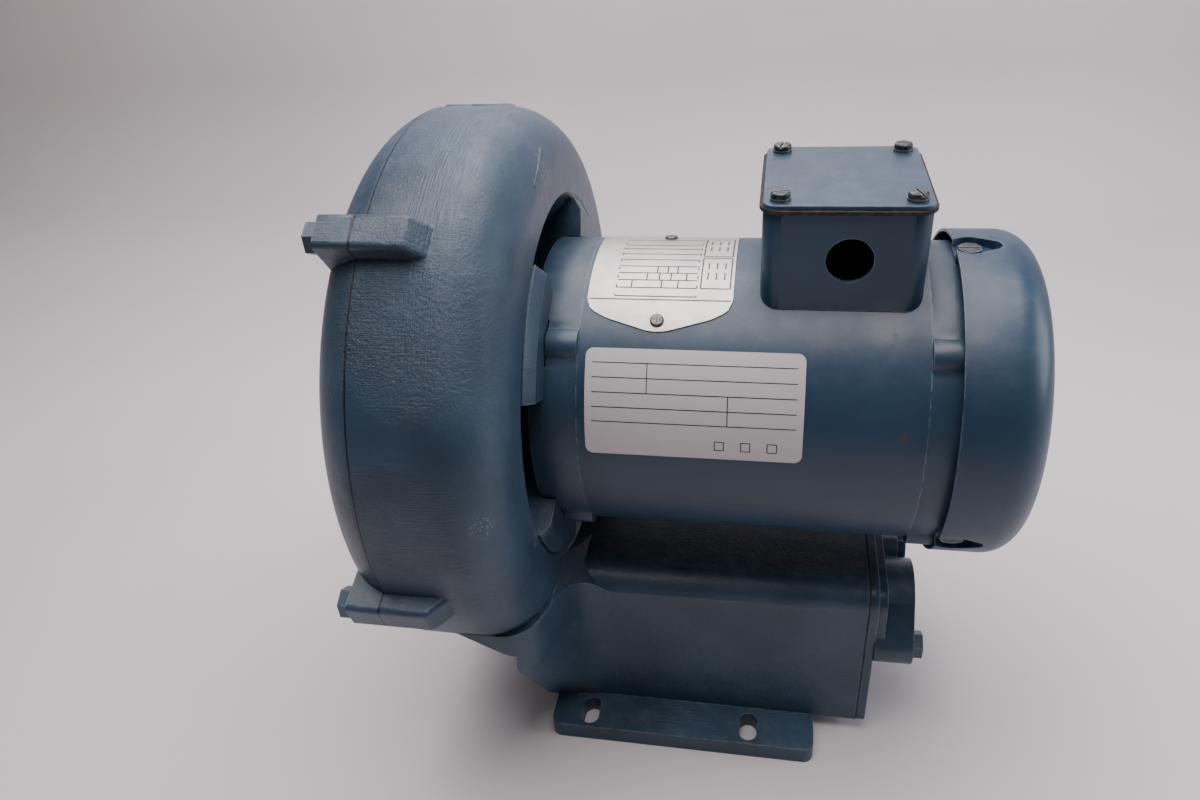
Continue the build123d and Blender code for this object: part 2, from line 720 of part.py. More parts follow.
def impeller_washer():
    bore_r = M8_SHANK_R + HOLE_GAP
    return raised(tube(HUB_FRONT_X - IMPELLER_WASHER_T, HUB_FRONT_X, IMPELLER_WASHER_R, bore_r))


def impeller_bolt():
    x = HUB_FRONT_X - IMPELLER_WASHER_T
    head = hex_bar(x - M8_HEAD_H, x, M8_HEAD_AF)
    return raised(head + rod_x(x, x + IMPELLER_BOLT_L, M8_SHANK_R))


def shaft_seal():
    x0 = WEB_REAR_X + SEAL_BOSS_L - SEAL_L
    return raised(tube(x0, x0 + SEAL_L, SEAL_R, SHAFT_STEP_R + 0.05))


# ---- silencer end ----
def end_slab(x0, x1):
    """A slab with the outline of the silencer box's end."""
    slab = box_at(x0, x1, -BOX_HALF_W, BOX_HALF_W, BOX_BOTTOM, BOX_TOP)
    return fillet(slab.edges().filter_by(Axis.X).sort_by(Axis.Z)[-2:], BOX_EDGE_R)


def muffler_gasket():
    gasket = end_slab(BOX_END_X, GASKET_X)
    gasket -= chambers()
    for y, z, radius, _ in manifold_holes():
        gasket -= rod_x(BOX_END_X - 1, GASKET_X + 1, radius + HOLE_GAP, y, z)
    return gasket


def muffler_end_plate():
    plate = end_slab(GASKET_X, PLATE_FACE_X)
    for side in (-1, 1):
        plate -= rod_x(GASKET_X - 1, PLATE_FACE_X + 1, TUBE_R + FIT_GAP, side * PORT_Y, PORT_Z)
    for y, z, radius, _ in manifold_holes():
        plate -= rod_x(GASKET_X - 1, PLATE_FACE_X + 1, radius + HOLE_GAP, y, z)
    return plate


def port_manifold():
    """The casting that carries the two threaded ports side by side."""
    flange_x = PLATE_FACE_X + MANIFOLD_FLANGE_T
    half_w = MANIFOLD_HALF_W
    flange = box_at(PLATE_FACE_X, flange_x, -half_w, half_w, MANIFOLD_Z0, MANIFOLD_Z1)
    body = fillet(flange.edges().filter_by(Axis.X), MANIFOLD_CORNER_R)
    for side in (-1, 1):
        port = Location((side * PORT_Y, PORT_Z)) * Circle(PORT_BOSS_R)
        lug = Location((side * CORNER_BOLT_DY / 2, CORNER_BOLT_Z)) * Circle(CORNER_LUG_R)
        outline = Plane.YZ.offset(PLATE_FACE_X) * make_hull(port.edges() + lug.edges())
        body += extrude(outline, MANIFOLD_L)
    body += rod_x(PLATE_FACE_X, PLATE_FACE_X + TOP_LUG_L, TOP_LUG_R, 0, TOP_SCREW_Z)
    for side in (-1, 1):
        body -= rod_x(PLATE_FACE_X - 1, MANIFOLD_FACE_X + 1, PORT_R, side * PORT_Y, PORT_Z)
    for y, z, radius, _ in manifold_holes():
        body -= rod_x(PLATE_FACE_X - 1, MANIFOLD_FACE_X + 1, radius + HOLE_GAP, y, z)
    return body


def manifold_bolts():
    """The two large bolts at the manifold's outer lugs."""
    bolts = []
    for y, z, radius, face in manifold_holes()[:2]:
        head = hex_bar(face, face + M10_HEAD_H, M10_HEAD_AF, y, z)
        bolts.append(head + rod_x(BOX_END_X - CORNER_BOLT_REACH, face, radius, y, z))
    return Compound(children=bolts)


def manifold_screws():
    """The two smaller screws on the centre line."""
    screws = []
    for y, z, radius, face in manifold_holes()[2:]:
        head = hex_bar(face, face + M6_HEAD_H, M6_HEAD_AF, y, z)
        screws.append(head + rod_x(BOX_END_X - END_SCREW_REACH, face, radius, y, z))
    return Compound(children=screws)


def silencer_tube(side):
    """The wire-mesh tube that carries the air through the foam."""
    x1 = PLATE_FACE_X - 0.5
    ring = Location(((x1 - TUBE_L + x1) / 2, side * PORT_Y, PORT_Z), (0, 90, 0))
    return ring * (Cylinder(TUBE_R, TUBE_L) - Cylinder(TUBE_R - TUBE_T, TUBE_L))


def silencer_foam(side):
    """The foam sleeve round the mesh tube."""
    x1 = BOX_END_X - SCREW_BOSS_L - 2
    ring = Location((x1 - FOAM_L / 2, side * PORT_Y, PORT_Z), (0, 90, 0))
    return ring * (Cylinder(FOAM_R, FOAM_L) - Cylinder(TUBE_R, FOAM_L))


# ---- motor ----
def motor_shell():
    """The rolled steel tube round the stator, with its lead hole."""
    shell = raised(tube(SHELL_X0, SHELL_X1, SHELL_R, SHELL_IN_R))
    lead_hole = Location((JB_MID_X, 0, AXIS_H + SHELL_R)) * Cylinder(LEAD_HOLE_R, 20)
    shell -= lead_hole
    for dx in (-MOUNT_SCREW_DX, MOUNT_SCREW_DX):
        shell -= Location((JB_MID_X + dx, 0, AXIS_H + SHELL_R)) * Cylinder(M5_SHANK_R, 20)
    return shell


def ears(x0, x1):
    """Half-round bosses on an end bell, over the through studs."""
    group = None
    for angle in stud_angles():
        y, z = polar(EAR_PITCH_R, angle)
        ear = rod_x(x0, x1, EAR_R, y, z)
        group = ear if group is None else group + ear
    return group


def stud_holes(x0, x1, radius):
    group = None
    for angle in stud_angles():
        y, z = polar(STUD_R, angle)
        hole = rod_x(x0, x1, radius, y, z)
        group = hole if group is None else group + hole
    return group


def front_end_bell():
    """The drive-end casting: spigot and face for the blower, bearing seat, notches for the clamp nuts."""
    boss_r = FRONT_BRG_R + BRG_BOSS_WALL
    rim_x = SHELL_X0 + RIM_INSERT
    rim_r = SHELL_IN_R - RIM_T
    spigot_x = MOUNT_FACE_X - SPIGOT_L
    bore_r = FRONT_BRG_BORE_R + 3
    bell = turned([
        (spigot_x, bore_r),
        (spigot_x, SPIGOT_R),
        (MOUNT_FACE_X, SPIGOT_R),
        (MOUNT_FACE_X, BELL_R),
        (SHELL_X0, BELL_R),
        (SHELL_X0, SHELL_IN_R),
        (rim_x, SHELL_IN_R),
        (rim_x, rim_r),
        (FRONT_WALL_X, rim_r),
        (FRONT_WALL_X, boss_r),
        (FRONT_BRG_X + FRONT_BRG_W, boss_r),
        (FRONT_BRG_X + FRONT_BRG_W, FRONT_BRG_R),
        (FRONT_BRG_X, FRONT_BRG_R),
        (FRONT_BRG_X, bore_r),
    ])
    bell += ears(CLAMP_FACE_X, SHELL_X0)
    half_w = NOTCH_W / 2
    notch = box_at(MOUNT_FACE_X - 1, CLAMP_FACE_X, -half_w, half_w, NOTCH_FLOOR_R, BELL_R + 4)
    for angle in stud_angles():
        y, z = polar(STUD_R, angle)
        bell += rod_x(FRONT_WALL_X - 1, FRONT_WALL_X + STUD_BOSS_L, STUD_BOSS_R, y, z)
        bell -= spun(notch, angle)
    bell -= stud_holes(MOUNT_FACE_X - 1, rim_x + 1, STUD_HOLE_R)
    return raised(bell)


def rear_end_bell():
    """The fan-end casting, with three tabs that the fan cover is screwed to."""
    boss_r = REAR_BRG_R + BRG_BOSS_WALL
    seat_end = REAR_BRG_X + REAR_BRG_W + WAVE_WASHER_T
    inner_x = REAR_BELL_X - BELL_WALL
    rim_x = SHELL_X1 - RIM_INSERT
    rim_r = SHELL_IN_R - RIM_T
    bell = turned([
        (rim_x, rim_r),
        (rim_x, SHELL_IN_R),
        (SHELL_X1, SHELL_IN_R),
        (SHELL_X1, BELL_R),
        (REAR_BELL_X, BELL_R),
        (REAR_BELL_X, boss_r - 2),
        (seat_end + BELL_WALL, boss_r - 4),
        (seat_end + BELL_WALL, REAR_BRG_BORE_R + 1.5),
        (seat_end, REAR_BRG_BORE_R + 1.5),
        (seat_end, REAR_BRG_R),
        (REAR_BRG_X - 1, REAR_BRG_R),
        (REAR_BRG_X - 1, boss_r),
        (inner_x, boss_r),
        (inner_x, rim_r),
    ])
    bell += ears(SHELL_X1, REAR_BELL_X)
    tab = box_at(REAR_BELL_X - 2, REAR_TAB_X, -REAR_TAB_W / 2, REAR_TAB_W / 2, BELL_R - 8, BELL_R + 2)
    tab = tab & tube(inner_x, REAR_TAB_X + 1, BELL_R - TAB_STEP)
    for angle in FAN_SCREW_ANGLES:
        bell += spun(tab, angle)
    bell -= stud_holes(rim_x - 1, REAR_BELL_X + 1, STUD_HOLE_R)
    screw_hole = Location((FAN_SCREW_X, 0, BELL_R - 3)) * Cylinder(FAN_SCREW_SHANK_R, 12)
    for angle in FAN_SCREW_ANGLES:
        bell -= spun(screw_hole, angle)
    return raised(bell)


def through_studs():
    """The long bolts that hold the motor together and carry it on the blower."""
    studs = []
    for angle in stud_angles():
        y, z = polar(STUD_R, angle)
        head = hex_bar(REAR_BELL_X, REAR_BELL_X + M6_HEAD_H, M6_HEAD_AF, y, z)
        shank = rod_x(WALL_INNER_X + 1, REAR_BELL_X, STUD_SHANK_R, y, z)
        studs.append(raised(head + shank))
    return Compound(children=studs)


def stud_nuts(x0):
    """A set of hexagon nuts on the studs, starting at x0."""
    nuts = []
    for angle in stud_angles():
        y, z = polar(STUD_R, angle)
        nut = hex_bar(x0, x0 + STUD_NUT_H, M6_HEAD_AF, y, z)
        nuts.append(raised(nut - rod_x(x0 - 1, x0 + STUD_NUT_H + 1, STUD_SHANK_R, y, z)))
    return Compound(children=nuts)


def stator_core():
    core = tube(STATOR_X0, STATOR_X0 + STATOR_L, SHELL_IN_R, STATOR_BORE_R)
    for angle in stud_angles():
        y, z = polar(STUD_R + 1.2, angle)
        core -= rod_x(STATOR_X0 - 1, STATOR_X0 + STATOR_L + 1, STUD_SHANK_R + 1.9, y, z)
    return raised(core)


def stator_windings():
    """The two end turns, each a rounded ring against the core's end."""
    rings = []
    for x0 in (STATOR_X0 - WINDING_OVERHANG, STATOR_X0 + STATOR_L):
        ring = tube(x0, x0 + WINDING_OVERHANG, WINDING_OUT_R, WINDING_IN_R)
        rings.append(raised(fillet(ring.edges().filter_by(GeomType.CIRCLE), 6.0)))
    return Compound(children=rings)


def rotor_core():
    rotor_r = STATOR_BORE_R - AIR_GAP
    core = tube(STATOR_X0, STATOR_X0 + STATOR_L, rotor_r, SHAFT_BODY_R)
    core += tube(STATOR_X0 - END_RING_L, STATOR_X0 + STATOR_L + END_RING_L, rotor_r - 2, END_RING_IN_R)
    return raised(core)


def motor_shaft():
    """The one shaft: impeller nose, seal journal, bearing seats, rotor body, fan tail."""
    rear_seat_end = REAR_BRG_X + REAR_BRG_W + WAVE_WASHER_T + BELL_WALL + 1
    clip_x = FAN_X + FAN_HUB_L
    shaft = turned([
        (SHAFT_NOSE_X, 0),
        (SHAFT_NOSE_X, SHAFT_NOSE_R),
        (HUB_REAR_X, SHAFT_NOSE_R),
        (HUB_REAR_X, SHAFT_STEP_R),
        (MOUNT_FACE_X - SPIGOT_L, SHAFT_STEP_R),
        (MOUNT_FACE_X - SPIGOT_L, FRONT_BRG_BORE_R),
        (FRONT_BRG_X + FRONT_BRG_W, FRONT_BRG_BORE_R),
        (FRONT_BRG_X + FRONT_BRG_W, SHAFT_BODY_R),
        (REAR_BRG_X, SHAFT_BODY_R),
        (REAR_BRG_X, REAR_BRG_BORE_R),
        (rear_seat_end, REAR_BRG_BORE_R),
        (rear_seat_end, SHAFT_TAIL_R),
        (clip_x, SHAFT_TAIL_R),
        (clip_x, SHAFT_TAIL_R - 0.8),
        (clip_x + CLIP_T, SHAFT_TAIL_R - 0.8),
        (clip_x + CLIP_T, SHAFT_TAIL_R),
        (SHAFT_END_X, SHAFT_TAIL_R),
        (SHAFT_END_X, 0),
    ])
    shaft -= rod_x(SHAFT_NOSE_X - 1, SHAFT_NOSE_X + 19, M8_SHANK_R)
    x0 = IMPELLER_X - KEY_L / 2
    shaft -= box_at(x0, x0 + KEY_L, -KEY_W / 2, KEY_W / 2, SHAFT_NOSE_R - KEY_W / 2, SHAFT_NOSE_R + 1)
    return raised(shaft)


# ---- bearings ----
def race(x0, width, r_in, r_out, pitch_r, ball_r):
    """A bearing race: a ring with the balls' groove cut in it."""
    ring = tube(x0, x0 + width, r_out, r_in)
    groove = Plane.XZ * Location((x0 + width / 2, pitch_r)) * Circle(ball_r + BALL_GAP)
    return raised(ring - revolve(groove, axis=Axis.X))


def race_land(pitch_r, ball_r, outward):
    """Radius of the race's land, at 0.58 of the ball's radius from the pitch circle."""
    return pitch_r + outward * ball_r * 0.58


def ball_places(x0, width, pitch_r, count):
    places = []
    for i in range(count):
        y, z = polar(pitch_r, 360.0 / count * i)
        places.append((x0 + width / 2, y, z + AXIS_H))
    return places


def balls(x0, width, pitch_r, ball_r, count):
    return Compound(children=[Location(p) * Sphere(ball_r) for p in ball_places(x0, width, pitch_r, count)])


def cage(x0, width, pitch_r, ball_r, count):
    """The ring that spaces the balls."""
    mid = x0 + width / 2
    half = ball_r + CAGE_EDGE
    ring = raised(tube(mid - half, mid + half, pitch_r + CAGE_T / 2, pitch_r - CAGE_T / 2))
    for place in ball_places(x0, width, pitch_r, count):
        axis_y = place[1]
        axis_z = place[2] - AXIS_H
        bore = Plane(origin=place, z_dir=(0, axis_y, axis_z)) * Cylinder(ball_r + CAGE_GAP, 3 * CAGE_T)
        ring -= bore
    return ring


def save_bearing(place, x0, width, r_in, r_out, ball_r, count):
    """The four kinds of piece in one ball bearing."""
    pitch_r = (r_in + r_out) / 2
    outer_land = race_land(pitch_r, ball_r, 1)
    inner_land = race_land(pitch_r, ball_r, -1)
    save(f"{place}_bearing_outer_race", race(x0, width, outer_land, r_out, pitch_r, ball_r))
    save(f"{place}_bearing_inner_race", race(x0, width, r_in, inner_land, pitch_r, ball_r))
    save(f"{place}_bearing_balls", balls(x0, width, pitch_r, ball_r, count))
    save(f"{place}_bearing_cage", cage(x0, width, pitch_r, ball_r, count))


def wave_washer():
    x0 = REAR_BRG_X + REAR_BRG_W
    return raised(tube(x0, x0 + WAVE_WASHER_T, REAR_BRG_R, REAR_BRG_R - 4))


# ---- cooling fan and cover ----
def cooling_fan():
    """The radial fan on the shaft's tail."""
    fan = tube(FAN_X, FAN_X + FAN_PLATE_T, FAN_R, SHAFT_TAIL_R)
    fan += tube(FAN_X, FAN_X + FAN_HUB_L, FAN_HUB_R, SHAFT_TAIL_R)
    root_x = FAN_X + FAN_PLATE_T / 2
    half_t = FAN_BLADE_T / 2
    blade = box_at(root_x, FAN_X + FAN_BLADE_L, -half_t, half_t, FAN_BLADE_IN_R, FAN_R - 1)
    blade = chamfer(blade.edges().filter_by(Axis.Y).group_by(Axis.X)[-1], 4.0)
    for i in range(FAN_BLADE_COUNT):
        fan += Rot(360.0 / FAN_BLADE_COUNT * i, 0, 0) * blade
    return raised(fan)


def fan_clip():
    x0 = FAN_X + FAN_HUB_L
    return raised(tube(x0, x0 + CLIP_T, SHAFT_TAIL_R + 2.5, SHAFT_TAIL_R - 0.8))


def teardrop(grow):
    """The outline of a screw dimple in the fan cover, widened by grow."""
    big = Location((FAN_SCREW_X, 0)) * Circle(DIMPLE_R + grow)
    small = Location((FAN_SCREW_X + DIMPLE_L - DIMPLE_R, 0)) * Circle(DIMPLE_R / 2 + grow)
    return make_hull(big.edges() + small.edges())


def drum(x0, x1, radius, edge_r):
    """A closed round drum with one large rounded end."""
    body = tube(x0, x1, radius)
    return fillet(body.edges().filter_by(GeomType.CIRCLE).sort_by(Axis.X)[-1:], edge_r)


def fan_cover():
    """The pressed steel cover: a drum with three screw dimples and a slotted inlet."""
    outer = drum(FAN_COVER_X0, FAN_COVER_X1, FAN_COVER_R, FAN_COVER_FILLET)
    inner = drum(
        FAN_COVER_X0 - 1,
        FAN_COVER_X1 - FAN_COVER_T,
        FAN_COVER_R - FAN_COVER_T,
        FAN_COVER_FILLET - FAN_COVER_T,
    )
    cover = outer - inner
    seat_r = BELL_R + FAN_COVER_SEAT
    envelope = outer & box_at(FAN_COVER_X0, FAN_COVER_X1, -30, 30, 0, FAN_COVER_R)
    for angle in FAN_SCREW_ANGLES:
        cup = Location((0, 0, seat_r)) * extrude(teardrop(FAN_COVER_T), 12)
        cover += spun(cup & envelope, angle)
    for angle in FAN_SCREW_ANGLES:
        hollow = Location((0, 0, seat_r + FAN_COVER_T)) * extrude(teardrop(0), 12)
        hollow += Location((FAN_SCREW_X, 0, seat_r)) * Cylinder(FAN_SCREW_SHANK_R + HOLE_GAP, 12)
        cover -= spun(hollow, angle)
    half_w = GRILLE_SPOKE_W / 2
    spoke = box_at(FAN_COVER_X1 - 5, FAN_COVER_X1 + 2, -half_w, half_w, 0, FAN_R)
    for r_in, r_out in GRILLE_RINGS:
        slots = tube(FAN_COVER_X1 - 4, FAN_COVER_X1 + 1, r_out, r_in)
        for i in range(GRILLE_SPOKES):
            slots -= Rot(360.0 / GRILLE_SPOKES * i, 0, 0) * spoke
        cover -= slots
    return raised(cover)


def fan_cover_screws():
    """Slotted screws that stand radially in the fan cover's dimples."""
    seat = BELL_R + FAN_COVER_SEAT + FAN_COVER_T
    head = Cylinder(FAN_SCREW_HEAD_R, FAN_SCREW_HEAD_H)
    slot = Box(3 * FAN_SCREW_HEAD_R, SLOT_W_SMALL, 2 * SLOT_DEPTH_SMALL)
    screw = Location((FAN_SCREW_X, 0, seat + FAN_SCREW_HEAD_H / 2)) * head
    screw -= Location((FAN_SCREW_X, 0, seat + FAN_SCREW_HEAD_H)) * slot
    screw += Location((FAN_SCREW_X, 0, seat - 4)) * Cylinder(FAN_SCREW_SHANK_R, 8)
    return Compound(children=[raised(spun(screw, angle)) for angle in FAN_SCREW_ANGLES])


# ---- junction box ----
def rounded_block(x0, x1, half_w, z0, z1, corner_r):
    block = box_at(x0, x1, -half_w, half_w, z0, z1)
    return fillet(block.edges().filter_by(Axis.Z), corner_r)


def jb_corners():
    """(x, y) of the cover screws."""
    half_l = JB_L / 2 - JB_SCREW_INSET
    half_w = JB_HALF_W - JB_SCREW_INSET
    return [(JB_MID_X + sx * half_l, sy * half_w) for sx in (-1, 1) for sy in (-1, 1)]


def junction_box():
    """The terminal box: drawn steel, saddled on the motor shell."""
    axis_x0 = JB_X0 - 5
    axis_x1 = JB_X1 + 5
    box = rounded_block(JB_X0, JB_X1, JB_HALF_W, JB_BOTTOM_Z - 5, JB_TOP, JB_CORNER_R)
    side = box_at(JB_X0, JB_X1, -JB_HALF_W - 1, JB_HALF_W + 1, JB_BOTTOM_Z, JB_TOP)
    side = fillet(side.edges().filter_by(Axis.Y).sort_by(Axis.Z)[:2], JB_BOTTOM_CORNER_R)
    box = box & side
    box -= raised(tube(axis_x0, axis_x1, SHELL_R))
    room = rounded_block(
        JB_X0 + JB_WALL,
        JB_X1 - JB_WALL,
        JB_HALF_W - JB_WALL,
        JB_BOTTOM_Z + 1,
        JB_TOP + 1,
        JB_CORNER_R - JB_WALL,
    )
    room -= raised(tube(axis_x0, axis_x1, SHELL_R + JB_WALL))
    box -= room
    outside = rounded_block(JB_X0, JB_X1, JB_HALF_W, JB_TOP - JB_POST_L, JB_TOP, JB_CORNER_R)
    for x, y in jb_corners():
        post = Location((x, y, JB_TOP - JB_POST_L / 2)) * Cylinder(JB_POST_R, JB_POST_L)
        box += post & outside
        box -= Location((x, y, JB_TOP - JB_POST_L / 2)) * Cylinder(M5_SHANK_R, JB_POST_L + 1)
    # earth post, lead hole, mounting holes and conduit hole
    ground_x = JB_MID_X + GROUND_DX
    post_z = SHELL_TOP - 6
    post = Cylinder(GROUND_POST_R, GROUND_POST_TOP - post_z)
    post = Location((ground_x, GROUND_DY, (post_z + GROUND_POST_TOP) / 2)) * post
    box += post - raised(tube(axis_x0, axis_x1, SHELL_R))
    box -= Location((ground_x, GROUND_DY, GROUND_POST_TOP - 3)) * Cylinder(M5_SHANK_R, 7)
    box -= Location((JB_MID_X, 0, FLOOR_TOP)) * Cylinder(LEAD_HOLE_R, 12)
    for dx in (-MOUNT_SCREW_DX, MOUNT_SCREW_DX):
        box -= Location((JB_MID_X + dx, 0, FLOOR_TOP)) * Cylinder(M5_SHANK_R + HOLE_GAP, 12)
    conduit = Location((CONDUIT_X, -JB_HALF_W, CONDUIT_Z), (90, 0, 0)) * Cylinder(CONDUIT_R, 4 * JB_WALL)
    return box - conduit


def junction_box_gasket():
    lip = JB_GASKET_LIP
    x0 = JB_X0 - lip
    x1 = JB_X1 + lip
    gasket = rounded_block(x0, x1, JB_HALF_W + lip, JB_TOP, JB_GASKET_TOP, JB_CORNER_R + lip)
    x0 = JB_X0 + JB_GASKET_W
    x1 = JB_X1 - JB_GASKET_W
    half_w = JB_HALF_W - JB_GASKET_W
    window = rounded_block(x0, x1, half_w, JB_TOP - 1, JB_GASKET_TOP + 1, JB_CORNER_R - 4)
    for x, y in jb_corners():
        window -= Location((x, y, JB_TOP)) * Cylinder(JB_POST_R, 8)
    gasket -= window
    for x, y in jb_corners():
        gasket -= Location((x, y, JB_TOP)) * Cylinder(M5_SHANK_R + HOLE_GAP, 8)
    return gasket


def junction_box_cover():
    cover = rounded_block(JB_X0, JB_X1, JB_HALF_W, JB_GASKET_TOP, JB_COVER_TOP, JB_COVER_CORNER_R)
    cover = fillet(cover.faces().sort_by(Axis.Z)[-1].edges(), 0.8)
    for x, y in jb_corners():
        cover -= Location((x, y, JB_COVER_TOP)) * Cylinder(M5_SHANK_R + HOLE_GAP, 8)
    return cover


def slotted_screw(x, y, seat_z, length, turn):
    """A vertical pan-head screw with a slot turned to the given angle."""
    head = Location((x, y, seat_z + M5_HEAD_H / 2)) * Cylinder(M5_HEAD_R, M5_HEAD_H)
    head = fillet(head.edges().filter_by(GeomType.CIRCLE).sort_by(Axis.Z)[-1:], 1.2)
    slot = Box(3 * M5_HEAD_R, SLOT_W_SMALL, 2 * SLOT_DEPTH_SMALL)
    slot = Location((x, y, seat_z + M5_HEAD_H), (0, 0, turn)) * slot
    shank = Location((x, y, seat_z - length / 2)) * Cylinder(M5_SHANK_R, length)
    return head - slot + shank


def junction_box_screws():
    seat = JB_COVER_TOP + LOCK_WASHER_T
    turns = (20, 75, 110, 160)
    screws = []
    for (x, y), turn in zip(jb_corners(), turns):
        screws.append(slotted_screw(x, y, seat, COVER_SCREW_L, turn))
    return Compound(children=screws)


def lock_washers():
    rings = []
    for x, y in jb_corners():
        ring = Cylinder(LOCK_WASHER_R, LOCK_WASHER_T) - Cylinder(M5_SHANK_R + 0.1, LOCK_WASHER_T)
        ring -= Location((LOCK_WASHER_R, 0, 0)) * Box(2 * LOCK_WASHER_R, 0.9, 2 * LOCK_WASHER_T)
        rings.append(Location((x, y, JB_COVER_TOP + LOCK_WASHER_T / 2)) * ring)
    return Compound(children=rings)


def box_mount_screws():
    length = FLOOR_TOP - (AXIS_H + SHELL_IN_R) - 0.2
    screws = []
    for dx in (-MOUNT_SCREW_DX, MOUNT_SCREW_DX):
        screws.append(slotted_screw(JB_MID_X + dx, 0, FLOOR_TOP, length, 90))
    return Compound(children=screws)


def ground_screw():
    return slotted_screw(JB_MID_X + GROUND_DX, GROUND_DY, GROUND_POST_TOP, GROUND_SCREW_L, 30)


def lead_grommet():
    """The bush that lines the lead hole."""
    bottom = AXIS_H + SHELL_IN_R + 0.4
    flange = Cylinder(LEAD_HOLE_R + GROMMET_FLANGE, GROMMET_FLANGE_T)
    flange = Location((JB_MID_X, 0, FLOOR_TOP + GROMMET_FLANGE_T / 2)) * flange
    neck = Cylinder(LEAD_HOLE_R - FIT_GAP, FLOOR_TOP - bottom)
    neck = Location((JB_MID_X, 0, (bottom + FLOOR_TOP) / 2)) * neck
    bore = Location((JB_MID_X, 0, FLOOR_TOP)) * Cylinder(LEAD_HOLE_R - GROMMET_T, 30)
    return flange + neck - bore


# ---- nameplate and label ----
def radial_plane(angle):
    """A plane through the shaft, looking outward at an angle; its local x is the shaft."""
    turn = math.radians(angle)
    return Plane(origin=(0, 0, 0), x_dir=(1, 0, 0), z_dir=(0, -math.cos(turn), math.sin(turn)))


def nameplate():
    """The motor's rating plate, bent to the shell, with a shallow point at its lower edge."""
    middle = (PLATE_TOP_ANGLE + PLATE_APEX_ANGLE) / 2

    def height(angle):
        return SHELL_R * math.sin(math.radians(angle - middle))

    x0 = PLATE_X0
    x1 = PLATE_X0 + PLATE_L
    mid = (x0 + x1) / 2
    outline = Polyline(
        (x0, height(PLATE_TOP_ANGLE)),
        (x0, height(PLATE_SIDE_ANGLE)),
        (x0 + PLATE_LOW_INSET, height(PLATE_LOW_ANGLE)),
        (mid - PLATE_APEX_W / 2, height(PLATE_APEX_ANGLE)),
        (mid + PLATE_APEX_W / 2, height(PLATE_APEX_ANGLE)),
        (x1 - PLATE_LOW_INSET, height(PLATE_LOW_ANGLE)),
        (x1, height(PLATE_SIDE_ANGLE)),
        (x1, height(PLATE_TOP_ANGLE)),
        close=True,
    )
    prism = extrude(radial_plane(middle) * make_face(outline), SHELL_R + 5)
    plate = prism & tube(x0, x1, PLATE_TOP_R, PLATE_TOP_R - PLATE_T)
    rivet_hole = Location((mid, 0, SHELL_R)) * Cylinder(RIVET_SHANK_R, 8)
    for angle in (RIVET_LOW_ANGLE, RIVET_TOP_ANGLE):
        plate -= spun(rivet_hole, angle)
    return raised(plate)


def nameplate_rivets():
    mid = PLATE_X0 + PLATE_L / 2
    seat = PLATE_TOP_R
    head = Location((mid, 0, seat + RIVET_H / 2)) * Cylinder(RIVET_R, RIVET_H)
    head = fillet(head.edges().filter_by(GeomType.CIRCLE).sort_by(Axis.Z)[-1:], RIVET_H * 0.8)
    rivet = head + Location((mid, 0, seat - PLATE_T / 2)) * Cylinder(RIVET_SHANK_R, PLATE_T)
    return Compound(children=[raised(spun(rivet, a)) for a in (RIVET_LOW_ANGLE, RIVET_TOP_ANGLE)])


def spec_label():
    """The adhesive label along the front of the shell."""
    middle = (LABEL_ANGLE_0 + LABEL_ANGLE_1) / 2
    height = 2 * SHELL_R * math.sin(math.radians((LABEL_ANGLE_1 - LABEL_ANGLE_0) / 2))
    outline = Location((LABEL_X0 + LABEL_L / 2, 0)) * RectangleRounded(LABEL_L, height, LABEL_CORNER_R)
    prism = extrude(radial_plane(middle) * outline, SHELL_R + 5)
    seat = SHELL_R + BED_T
    return raised(prism & tube(LABEL_X0, LABEL_X0 + LABEL_L, seat + LABEL_T, seat))


# ---- export ----
os.makedirs("parts", exist_ok=True)

save("blower_housing", blower_housing())
save("blower_cover", blower_cover())
save("cover_bolts", cover_bolts())
save("impeller", impeller())
save("impeller_key", impeller_key())
save("impeller_washer", impeller_washer())
save("impeller_bolt", impeller_bolt())
save("shaft_seal", shaft_seal())

save("muffler_gasket", muffler_gasket())
save("muffler_end_plate", muffler_end_plate())
save("port_manifold", port_manifold())
save("manifold_bolts", manifold_bolts())
save("manifold_screws", manifold_screws())
for side, place in ((-1, "front"), (1, "rear")):
    save(f"silencer_tube_{place}", silencer_tube(side))
    save(f"silencer_foam_{place}", silencer_foam(side))

save("motor_shell", motor_shell())
save("front_end_bell", front_end_bell())
save("rear_end_bell", rear_end_bell())
save("through_studs", through_studs())
save("motor_clamp_nuts", stud_nuts(CLAMP_FACE_X - STUD_NUT_H))
save("blower_mount_nuts", stud_nuts(WALL_INNER_X + NUT_SINK))
save("stator_core", stator_core())
save("stator_windings", stator_windings())
save("rotor_core", rotor_core())
save("motor_shaft", motor_shaft())
save("wave_washer", wave_washer())
save_bearing("front", FRONT_BRG_X, FRONT_BRG_W, FRONT_BRG_BORE_R, FRONT_BRG_R, FRONT_BALL_R, FRONT_BALL_COUNT)
save_bearing("rear", REAR_BRG_X, REAR_BRG_W, REAR_BRG_BORE_R, REAR_BRG_R, REAR_BALL_R, REAR_BALL_COUNT)

save("cooling_fan", cooling_fan())
save("fan_clip", fan_clip())
save("fan_cover", fan_cover())
save("fan_cover_screws", fan_cover_screws())

save("junction_box", junction_box())
save("junction_box_gasket", junction_box_gasket())
save("junction_box_cover", junction_box_cover())
save("junction_box_screws", junction_box_screws())
save("lock_washers", lock_washers())
save("box_mount_screws", box_mount_screws())
save("ground_screw", ground_screw())
save("lead_grommet", lead_grommet())
save("nameplate", nameplate())
save("nameplate_rivets", nameplate_rivets())
save("spec_label", spec_label())
print(len(EXPORTED), "nodes")
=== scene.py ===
import json
import math
from functools import partial
import bmesh
import bpy
from mathutils import Matrix, Vector


